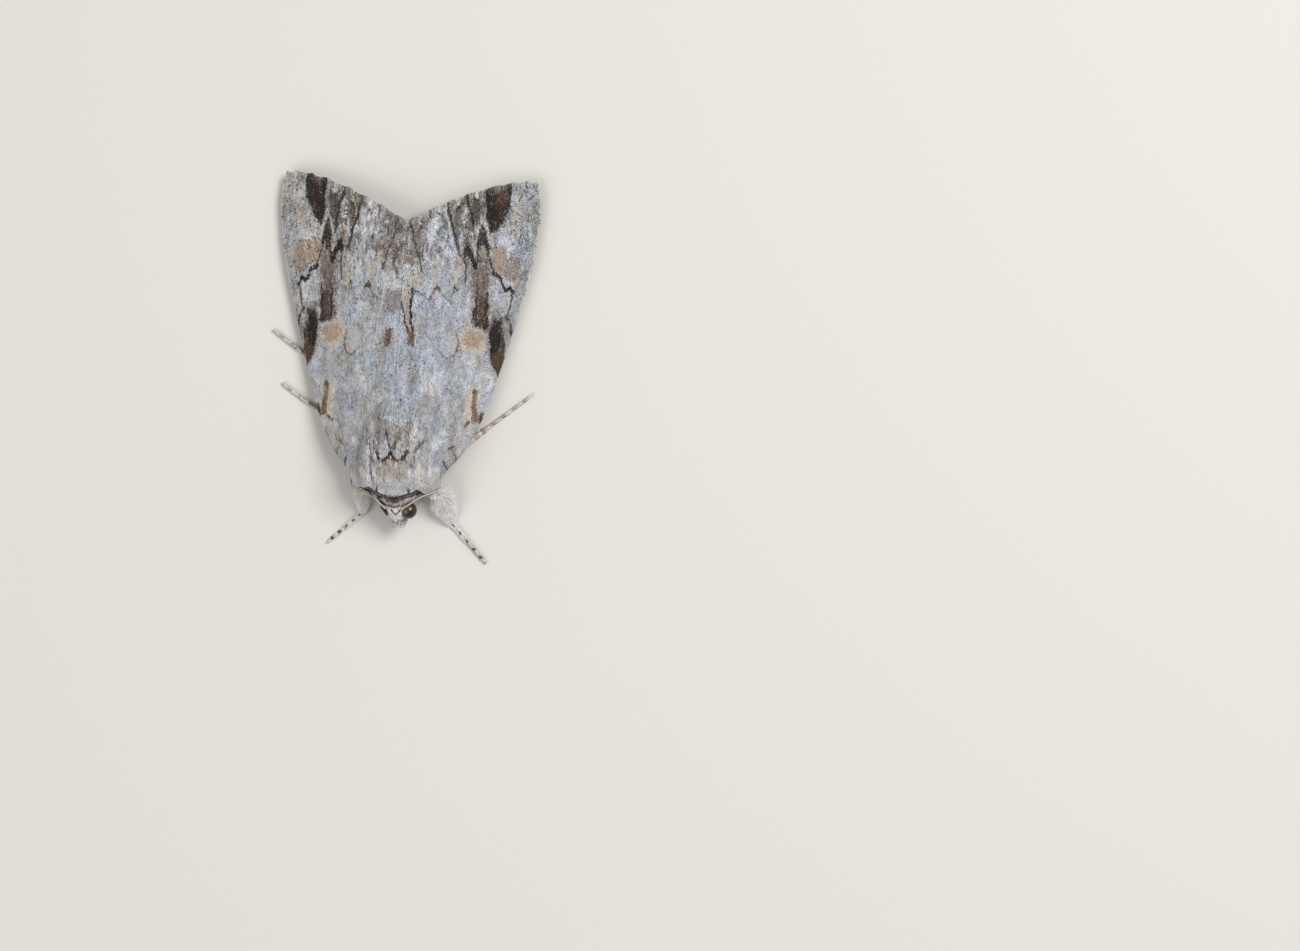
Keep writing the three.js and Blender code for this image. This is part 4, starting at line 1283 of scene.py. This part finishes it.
def flakes_between(root, tip, width, colours, seed):
    """Long scales given by their two ends, their flat sides up."""
    rng = np.random.default_rng(seed)
    lie = unit(tip - root)
    normal = np.cross(np.cross(lie, (0, 0, 1.0)), lie)
    return repeat_shape(
        FLAKE, root, normal, lie, np.linalg.norm(tip - root, axis=1),
        width * rng.uniform(0.8, 1.2, len(root)), 0.1, colours,
        (root[:, 1] - FACE_FRONT) / BODY_LENGTH, 0.25 + root[:, 0] / BODY_GIRTH, droop=0.1)


def collar_layer(count, seed, reach, sink, longest, colour, rows=1, size=0.12):
    """Scales in `rows` rows, the first with its tips `reach` mm in front of the edge and the
    others stepping back. They lie `sink` mm below the collar's top."""
    rng = np.random.default_rng(seed)
    x = rng.uniform(COLLAR_FROM, COLLAR_TO, count)
    narrow = 1 - 0.9 * step(np.abs(x), 2.4, 4.2)
    row = np.floor(rows * rng.random(count) ** 1.5)
    end = collar_edge(x) - reach * narrow + row * 0.2 + rng.normal(0, 0.03 + 0.07 * (row > 0), count)
    start = end + rng.uniform(0.4, longest, count)
    slant = -0.06 * (end - start) * np.sign(x) + rng.normal(0, 1, count) * (0.03 + 0.05 * (row > 0))
    root = np.stack([x, start, over_neck(x, start) + 0.03 - sink], -1)
    rise = rng.uniform(0.06, 0.15, count) - sink
    tip = np.stack([x + slant, end, over_neck(x + slant, end) + rise], -1)
    colours = colour(x, end + 0.1, rng.random(count))
    return flakes_between(root, tip, size, peppered(colours, seed + 1, 0.05, 0.04, 0.05), seed + 2)


print("the collar's foremost edge: y =", collar_edge(0.05), "mm")


# %% Colours of its layers
DARK_LAYER_MARKS = marks("""
patch 6E4549 .2 .75  .1,-21 .1,-19 1.3,-19 1.3,-21
patch 5F4736 .3 .85  -5.5,-20 -5.5,-17 -2.7,-17 -2.7,-20
patch 4F4038 .3 .7  2.6,-20 2.6,-17 5.5,-17 5.5,-20
""")
CROWN_MARKS = marks("""
patch C2B4B2 .15 .9  .05,-22 .05,-18 2.9,-18 2.9,-22
patch C6C3C0 .12 .9  -1.4,-22 -1.4,-18 -.5,-18 -.5,-22
patch A69A92 .1 .7  -2.6,-22 -2.6,-18 -1.9,-18 -1.9,-22
""")


def layer_paint(ground, found=()):
    """A way to colour one layer: a ground colour with marks on it."""
    return lambda x, y, grain: painted(plain(ground, len(x)), found, x, y, grain)


def top_paint(x, y, grain):
    """The top layer goes on with the colours of the back."""
    return body_colour(x, y, np.full(len(x), 7.0), grain)


def cheek(count, seed):
    """Scales of the right cheek, which lie over the sunken right eye up to the feeler's line. Their
    near-black colour is partly painted shadow at the head's right edge, partly the dark eye and scales.
    """
    rng = np.random.default_rng(seed)
    share = rng.random(count)
    root = np.stack([-1.7 + 0.85 * share, -19.8 - 1.4 * share, 4.75 - 0.1 * share], -1)
    root += rng.normal(0, 0.05, (count, 3))
    tip = root + np.stack([-0.02 + 0.12 * share, -0.5 + 0 * share, -0.42 + 0 * share], -1)
    colours = np.where(rng.random((count, 1)) < 0.5, srgb("#2A211E"), srgb("#4A3B31"))
    return flakes_between(root, tip + rng.normal(0, 0.04, (count, 3)), 0.08, colours, seed + 1)


# From the top layer down, each reaches further forward from under the one above.
plant("collar", [
    collar_layer(6500, 231, reach=0, sink=0, longest=0.7, colour=top_paint, rows=14, size=0.1),
    # This first dark layer under the edge is dark scale tips together with painted shadow under the
    # collar's edge.
    collar_layer(700, 243, 0.16, 0.12, 0.6, layer_paint("#2A2123")),
    collar_layer(800, 234, 0.4, 0.24, 0.8, layer_paint("#6F646B", DARK_LAYER_MARKS)),
    collar_layer(500, 246, 0.54, 0.32, 0.6, layer_paint("#2A2123")),
    collar_layer(800, 237, 0.95, 0.4, 0.8, layer_paint("#332A2B", CROWN_MARKS)),
    cheek(300, 240),
], body_hair, "fur")

# %% The shoulder's fringe
HOOD_EDGE = np.array([(4.9, -17.6), (4.75, -16), (4.55, -14), (4.25, -12), (3.55, -10), (3.05, -9),
                      (2.65, -8.5), (2.15, -8), (1.3, -7.7), (0, -7.55)])


def lengths_along(corners):
    """How far along a broken line each of its corners is."""
    return np.r_[0, np.cumsum(np.linalg.norm(np.diff(corners, axis=0), axis=1))]


def points_along(corners, at):
    """The points that lie `at` mm along a broken line."""
    reach = lengths_along(corners)
    return np.stack([np.interp(at, reach, column) for column in corners.T], -1)


def shoulder_fringe(side, count, seed):
    """Scales rooted along the line where the thorax meets the roof, some inside it and some
    outside, lying outwards and back down onto the wing. Their colour runs from body to wing."""
    rng = np.random.default_rng(seed)
    s = rng.uniform(0, lengths_along(HOOD_EDGE)[-1], count)
    ahead = unit(points_along(HOOD_EDGE, s + 0.3) - points_along(HOOD_EDGE, s - 0.3))
    out = np.stack([ahead[:, 1], -ahead[:, 0]], -1)
    lie = unit(0.5 * out + (0, 0.75) + rng.normal(0, 0.08, (count, 2)))
    offset = rng.uniform(-0.8, 0.25, count)
    root = points_along(HOOD_EDGE, s) + out * offset[:, None]
    tip = root + lie * rng.uniform(0.45, 0.75, (count, 1))
    height = lambda place: np.maximum(roof(*place.T) - SCALE_DEPTH, skin_height(*place.T))
    grain = rng.random(count)
    on_wing = wing_colour(side, *tip.T, grain)
    on_body = body_colour(side * tip[:, 0], tip[:, 1], np.full(count, 8.0), grain)
    share = step(offset, -0.9, 0)[:, None]
    colours = peppered(on_body * (1 - share) + on_wing * share, seed + 1, 0.06, 0.07, 0.06)
    root = np.c_[root * (side, 1), height(root) + 0.02]
    tip = np.c_[tip * (side, 1), height(tip) + 0.05]
    return flakes_between(root, tip, 0.125, colours, seed + 2)


for word, side in SIDES.items():
    plant(f"shoulder_fringe_{word}", [shoulder_fringe(side, 3600, 241 + side)], body_hair, "fur")

# %% [markdown]
# ## Eyes
# A moth's eye is a ball of thousands of facets under clear, glossy cornea. Its dark pigment
# glows olive and golden towards the face and shows black on the outer side, and painted light
# and shade make it lighter on top and darker below, outwards and on the sunken right eye. Real
# facets are 0.02 mm wide; here they are drawn three times as coarse, so that they show, and as
# shallow bumps, because modelled ones would be thousands.

# %% Eyes
FACET_MM = 0.06
EYE_NARROWING, POLE = 0.94, 0.04  # the eye's width, and where its first ring lies (radians)
EYE_BLACK, EYE_GOLD = "#0E0B08", "#7C6030"
EYE_LIT = {"left": 0.9, "right": 0.3}  # the right one is sunk and in shade
# Cornea is smooth, so that light glints on it, but its facets scatter part of the glint.
cornea = painted_finish(
    "glossy_faceted_cornea", "ShaderNodeTexVoronoi", "Distance",
    {"Scale": 1 / (FACET_MM * MM), "Randomness": 0.35}, (0.3, 0.75, 1.05, 0.7), (0.01, 0.5),
    {"Roughness": 0.3, "Coat Weight": 0.25, "Coat Roughness": 0.08}, invert=True)


def ball(centre, radii, rows=40, sides=56):
    """An ellipsoid: circles whose radius is the sine of the angle from the pole."""
    polar, turn = np.linspace(POLE, np.pi - POLE, rows)[:, None], around(sides)[None]
    unit_ball = np.stack([np.sin(polar) * np.cos(turn), np.sin(polar) * np.sin(turn),
                          np.cos(polar) + 0 * turn], -1)
    return tube(np.asarray(centre) + unit_ball * radii)


for word, centre in EYES.items():
    points, faces = ball(centre, (EYE_RADIUS * EYE_NARROWING, EYE_RADIUS, EYE_RADIUS))
    outward, front, height = ((points - centre) / EYE_RADIUS).T
    # Pigment with painted light and shade: golden on top and towards the face, black below and outwards;
    # EYE_LIT dims the sunken right eye as painted shade.
    gold_with_shade = step(0.5 * height + 0.9 * front - 0.9 * SIDES[word] * outward, -0.2, 1.1) * EYE_LIT[word]
    colours = mixed(srgb(EYE_BLACK), EYE_GOLD, gold_with_shade[:, None])
    colours *= 1 + 0.12 * noise(points[:, 1], points[:, 2], 0.3, 81)[:, None]
    make_piece(f"eyeball_{word}", points, faces, cornea, "eye", colours, replaces=[f"eye_{word}"])

# %% [markdown]
# ## Things along a path
# Feelers, palps and legs are tubes along a bent path. `along_path` spaces points evenly over a
# broken line and rounds its corners by a moving average; `carried` sets a circle of points
# around each, sideways and upwards from the path's direction. A curve object with a bevel could
# do this too, but then a ring's radius, joints and colours would be hard to set one by one.

# %% Paths and tubes along them


def along_path(corners, count, rounding):
    """`count` evenly spaced points over a broken line, its corners rounded over `rounding` mm,
    and how far along it each is."""
    corners = np.asarray(corners, float)
    s = np.linspace(0, lengths_along(corners)[-1], count)
    path = points_along(corners, s)
    width = max(1, int(rounding / s[-1] * count / 2))
    window = np.hanning(2 * width + 1)
    window /= window.sum()
    padded = np.concatenate([
        2 * path[:1] - path[width:0:-1], path, 2 * path[-1:] - path[-2:-width - 2:-1]])
    return np.stack([np.convolve(column, window, "valid") for column in padded.T], -1), s


def directions(path):
    """The way ahead and the level way aside at each point of a path."""
    ahead = unit(np.gradient(path, axis=0))
    return ahead, unit(np.cross(ahead, (0, 0, 1.0)))


def carried(path, radius, sides):
    """Rings around a path: place + sideways * radius * cos + upwards * radius * sin, and no point
    below the floor."""
    ahead, aside = directions(path)
    above = np.cross(aside, ahead)
    turn = around(sides)[None, :, None]
    rings = path[:, None] + radius[:, None, None] * (
        aside[:, None] * np.cos(turn) + above[:, None] * np.sin(turn))
    rings[..., 2] = np.maximum(rings[..., 2], 0)
    return rings


def ring_values(values, sides):
    """One value for each ring, repeated for every point of its tube."""
    return np.r_[np.repeat(values, sides), values[0], values[-1]]


# %% [markdown]
# ## Feelers
# Thread-like and ringed: many short joints, each a little wider at its far end, with cream scales
# above and bare brown below. One tube whose radius swells at every joint is enough for them. They
# leave the crown beside the eyes, pass in front of the shoulders and run back under the wings'
# leading edges.

# %% Feelers
FEELER_ON_HEAD = {
    "left": [(1.05, -20.85, 5.1), (1.9, -20.35, 5.45), (2.8, -19.65, 5.35)],
    "right": [(-1.05, -20.85, 5.1), (-1.8, -20.2, 5.45), (-2.5, -19.55, 5.5)],
}
FEELER_AT_SHOULDER = {
    "left": [(3.7, -19.1, 5.05), (4.6, -18.75, 4.65), (5.5, -18.3, 4)],
    "right": [(-3.3, -19.2, 5.05), (-4.3, -18.85, 4.75), (-5.5, -18.3, 4)],
}
FEELER_INSET, FEELER_DROP, FEELER_SPAN = 0.4, 1.09, (-16.4, -4.6)
FEELER_JOINT, FEELER_RADIUS, FEELER_TAPER = 0.22, 0.125, 0.06
FEELER_RINGS, FEELER_SIDES = 420, 12
feeler_finish = scale_finish("ringed_feeler_cuticle", 0.6, 0.12, 0.08, 0.02)  # faintly glossy

for word, side in SIDES.items():
    y = np.linspace(*FEELER_SPAN, 6)
    under = np.stack([side * (leading_edge(y) - FEELER_INSET), y, eave_height(y) - FEELER_DROP], -1)
    corners = np.concatenate([leaned(FEELER_ON_HEAD[word]), FEELER_AT_SHOULDER[word], under])
    path, s = along_path(corners, FEELER_RINGS, 1.0)
    within = (s / FEELER_JOINT) % 1
    stout = 0.06 * (1 - step(s, 0.25, 0.4))  # the first joint
    radius = FEELER_RADIUS - FEELER_TAPER * s / s[-1] + stout
    radius *= 0.97 + 0.06 * step(within, 0, 0.8) * (1 - step(within, 0.9, 1))
    rings = carried(path, radius, FEELER_SIDES)
    points, faces = tube(rings)
    pale = step((rings[..., 2] - path[:, None, 2]) / radius[:, None], 0.1, 0.7)
    ringed = (1 - 0.2 * (within > 0.75))[:, None]
    tint = mixed(srgb("#3E2F25"), "#BFB3A5", (pale * ringed)[..., None])
    colours = np.concatenate([tint.reshape(-1, 3), tint[0, :1], tint[-1, :1]])
    make_piece(f"feeler_{word}", points, faces, feeler_finish, "feeler", colours,
               replaces=[f"antenna_{word}"])
    print("its joints:", int(s[-1] / FEELER_JOINT))

# %% [markdown]
# ## Palps
# Two scaled palps curve up in front of the face like short tusks, so close that they look like
# one snout from above. Hairs rooted on a bent tube hide the joint with the face.

# %% Palps
PALP_PATH = [(0.62, -20.4, 2.2), (0.66, -21.6, 2.0), (0.55, -22.6, 2.5), (0.38, -23.1, 3.4)]
palp_radius = through((0, 0.36), (0.5, 0.41), (0.8, 0.35), (0.93, 0.25), (1, 0.05))
for word, side in SIDES.items():
    path, s = along_path(leaned(np.array(PALP_PATH) * (side, 1, 1)), 60, 1.2)
    rings = carried(path, palp_radius(s / s[-1]), 24)
    points, faces = tube(rings)
    make_piece(f"palp_{word}_skin", points, faces, body_skin, "fur",
               plain("#BDB6B1", len(points)) * SKIN_SHADE, replaces=[f"palp_{word}"])
    place, normal, along, across, u, v = scatter(rings, 1100, 91 + side)
    rng = np.random.default_rng(93 + side)
    n = len(place)
    # Hairs that face down are dark: painted shade under the palps together with their dark underside. A few
    # others are dark at random.
    dark = (rng.random(n) < 0.04) | (normal[:, 2] < -0.15)
    tint = mixed(srgb("#E0DCD9"), "#3A322E", dark[:, None])
    lie = unit(along + across * rng.normal(0, 0.12, (n, 1))) + 0.35 * unit(SNOUT - place)
    hairs = repeat_shape(
        HAIR, place, normal, lie - (0.5 * side, 0, 0), rng.uniform(0.28, 0.45, n),
        rng.uniform(0.05, 0.075, n), rng.uniform(0.1, 0.25, n), tint, u, v, droop=0.12)
    plant(f"palp_{word}_hair", [hairs], body_hair, "fur", smooth=True)

# %% [markdown]
# ## Legs
# Six legs lie spread on the ground. Under their scales each is femur, tibia and a foot of five
# short joints, and one skin covers all three. Cream scales with dark brown bands clothe them;
# the tibiae of the forelegs carry a broad brush of hair that hides the knee from above. Three
# tubes for each leg would show seams at the joints, so the radius changes along a single one.

# %% Shapes and colours of the legs
LEGS = {  # hip, knee, ankle and toe: the last two stand at foot level
    "foreleg_left": [(1.7, -17, 2), (5.6, -18.9, 2.3), (6.8, -22.3), (11.5, -27.3)],
    "foreleg_right": [(-1.7, -17, 2), (-4.2, -18.9, 2.3), (-4.3, -21.6), (-8.65, -25.7)],
    "midleg_left": [(2.6, -12.8, 1.7), (6.2, -14.2, 2.2), (9.9, -11.1), (16.3, -5.9)],
    "midleg_right": [(-2.6, -12.8, 1.7), (-5.9, -13.6, 2.6), (-8.7, -10.5), (-15.3, -6)],
    "hindleg_left": [(2.4, -9.4, 1.7), (5.8, -11, 2.5), (9, -4.4), (12.4, 2.6)],
    "hindleg_right": [(-2.4, -9.4, 1.7), (-6, -10.2, 2.5), (-9.6, -4.4), (-16.7, 0.6)],
}
FOOT_LEVEL, BOW, CLAW_ROOM, KNEE_ROUNDING = 0.25, 0.12, 0.22, 0.9
FOOT_JOINTS, LEG_RINGS, LEG_SIDES = 5, 260, 20
# Shares of the leg: 0 to 1 is the femur, 1 to 2 the tibia, 2 to 3 the foot.
leg_radius = through((0, 0.42), (0.35, 0.56), (0.9, 0.32), (1.05, 0.3), (1.5, 0.26), (1.93, 0.3),
                     (2.05, 0.2), (2.9, 0.15), (3, 0.09))
SHIN_BANDS = (1.25, 1.5), (1.7, 1.9)
BAND_STRENGTH = {"foreleg_left": 0.9, "foreleg_right": 0.9, "midleg_left": 0.35}
FAINT_BANDS = 0.2  # on the other legs
horn = scale_finish("bare_brown_chitin", 0.4, 0.1, 0.2, 0.01)  # claws are bare and shine a little
print("legs:", list(LEGS))


def in_foot_joint(share):
    """How far along its own foot joint a place is, from 0 to 1."""
    return (np.clip(share - 2, 0, 0.999) * FOOT_JOINTS) % 1


def leg_colour(name, share, grain):
    """Cream, with a dark band at the root of each foot joint and two on the tibia."""
    within = in_foot_joint(share)
    foot = (share > 2) * (step(within, 0.02, 0.1) * (1 - step(within, 0.3, 0.42)))
    shin = sum(step(share, start, start + 0.05) * (1 - step(share, end - 0.05, end))
               for start, end in SHIN_BANDS)
    dark = np.clip(foot + shin * 0.8, 0, 1) * BAND_STRENGTH.get(name, FAINT_BANDS)
    dark = np.clip(dark * 1.1 + 0.5 * (grain - 0.5) * dark, 0, 1)
    thigh = 1 - step(share, 0.8, 1.1)
    colour = mixed(plain("#CEC6B8", len(share)), "#54402F", dark[:, None])
    return mixed(colour, "#BDB4AC", thigh[:, None])


# %% Spurs and claws
SPUR_PLACES = {"midleg": [2.0], "hindleg": [1.62, 2.0]}
# For each kind of spike: its points as mm ahead, out and up from its root, radius, two colours.
SPUR = [(0.35, 0.22, 0), (0.8, 0.3, 0)], 0.07, "#B5AA9A", "#4A3A2E"
CLAW = [(0.1, 0.07, 0.04), (0.22, 0.13, -0.1)], 0.045, "#4A3020", "#2A1A10"
SPIKE_SIDES = 8


def spike(root, ahead, out, bends, radius, root_colour, tip_colour):
    """A thin cone along a bent line: radius times one minus the share of the length squared."""
    corners = [root] + [root + a * ahead + b * out + (0, 0, c) for a, b, c in bends]
    path, s = along_path(corners, 12, 0.1)
    share = s / s[-1]
    points, faces = tube(carried(path, radius * (1.02 - share ** 2), SPIKE_SIDES))
    share = np.r_[np.repeat(share, SPIKE_SIDES), 0, 1][:, None]
    return points, faces, mixed(srgb(root_colour), tip_colour, share), share


def spikes_of(name, path, share):
    """Two spurs at each of the leg's spur places, and two claws at its toe."""
    ahead, aside = directions(path)
    places = SPUR_PLACES.get(name.split("_")[0], [])
    found = [spike(path[at] + 0.1 * way * aside[at], ahead[at], way * aside[at], *SPUR)
             for at in [np.argmin(abs(share - place)) for place in places] for way in (-1, 1)]
    return found + [spike(path[-1], ahead[-1], way * aside[-1], *CLAW) for way in (-1, 1)]


# %% Scales and brushes
BRUSHES = {"foreleg_left": 1.5, "foreleg_right": 0.95}  # length in mm
BRUSH_FROM, BRUSH_TO = 48, 200  # among the rings of the leg


def leg_coat(name, rings, share, number):
    """The leg's scales, longer on the femur and tibia than on the foot, and before them the random
    numbers that its brush goes on with."""
    place, normal, along, across, u, v = scatter(rings, 1900, 310 + number)
    rng = np.random.default_rng(320 + number)
    n = len(place)
    root_share = np.interp(u, np.linspace(0, 1, len(share)), share)
    tint = peppered(leg_colour(name, root_share, rng.random(n)), 330 + number, 0.06, 0.04, 0.06)
    size = 0.3 + 0.18 * (1 - step(root_share, 1.9, 2.1))
    return rng, repeat_shape(
        FLAKE, place, normal, along + across * rng.normal(0, 0.15, (n, 1)),
        size * rng.uniform(0.8, 1.2, n), rng.uniform(0.12, 0.18, n), rng.uniform(0.08, 0.18, n), tint, u, v)


def brush(name, rings, share, number, rng):
    """Hairs that stand out flat to both sides of the tibia, longest near the knee."""
    place, normal, along, across, u, v = scatter(rings[BRUSH_FROM:BRUSH_TO], 2400, 350 + number)
    n = len(place)
    here = np.interp(BRUSH_FROM + u * (BRUSH_TO - BRUSH_FROM), np.arange(len(share)), share)
    length = np.maximum(BRUSHES[name] * (1.2 - np.abs(here - 1.15)), 0.3)
    tint = peppered(plain("#E8E3E1", n), 340 + number, 0.05, 0.02, 0.08)
    lie = unit(normal * (1, 1, 0.15)) * 0.9 + along * 0.8 + across * rng.normal(0, 0.2, (n, 1))
    return repeat_shape(
        HAIR, place, np.tile((0, 0, 1.0), (n, 1)), lie, length * rng.uniform(0.6, 1.15, n),
        rng.uniform(0.045, 0.07, n), rng.uniform(-0.12, 0.1, n), tint, u, v,
        droop=0.05, sway=rng.normal(0, 0.15, n))


# %% The six legs
spikes = []
for number, (name, joints) in enumerate(LEGS.items()):
    hip, knee, ankle, toe = (np.array([*joint, FOOT_LEVEL][:3], float) for joint in joints)
    toe = toe - CLAW_ROOM * unit(toe - ankle)
    rise = np.array([0, 0, BOW])
    bent = [hip, (hip + knee) / 2 + rise, knee, (knee + ankle) / 2 + rise, ankle, toe]
    path, s = along_path(bent, LEG_RINGS, KNEE_ROUNDING)
    share = np.interp(s, lengths_along(bent)[[0, 2, 4, 5]], [0, 1, 2, 3])
    swell = (share > 2.02) * (share < 2.98) * 0.035 * (in_foot_joint(share) - 0.5)
    rings = carried(path, leg_radius(share) + swell, LEG_SIDES)
    points, faces = tube(rings)
    tint = leg_colour(name, ring_values(share, LEG_SIDES), np.full(len(points), 0.5)) * SKIN_SHADE
    make_piece(f"{name}_skin", points, faces, leg_scales, "leg", tint,
               replaces=[f"{name}_{part}" for part in ("femur", "tibia", "tarsus")])
    spikes += spikes_of(name, path, share)
    rng, scales = leg_coat(name, rings, share, number)
    sets = [scales] + ([brush(name, rings, share, number, rng)] if name in BRUSHES else [])
    for points, *_ in sets:  # nothing goes below the floor
        points[:, 2] = np.maximum(points[:, 2], 0)
    plant(f"{name}_scales", sets, leg_scales, "leg")

points, faces, tint, _ = join(spikes)
make_piece("spurs_and_claws", points, faces, horn, "leg", tint)
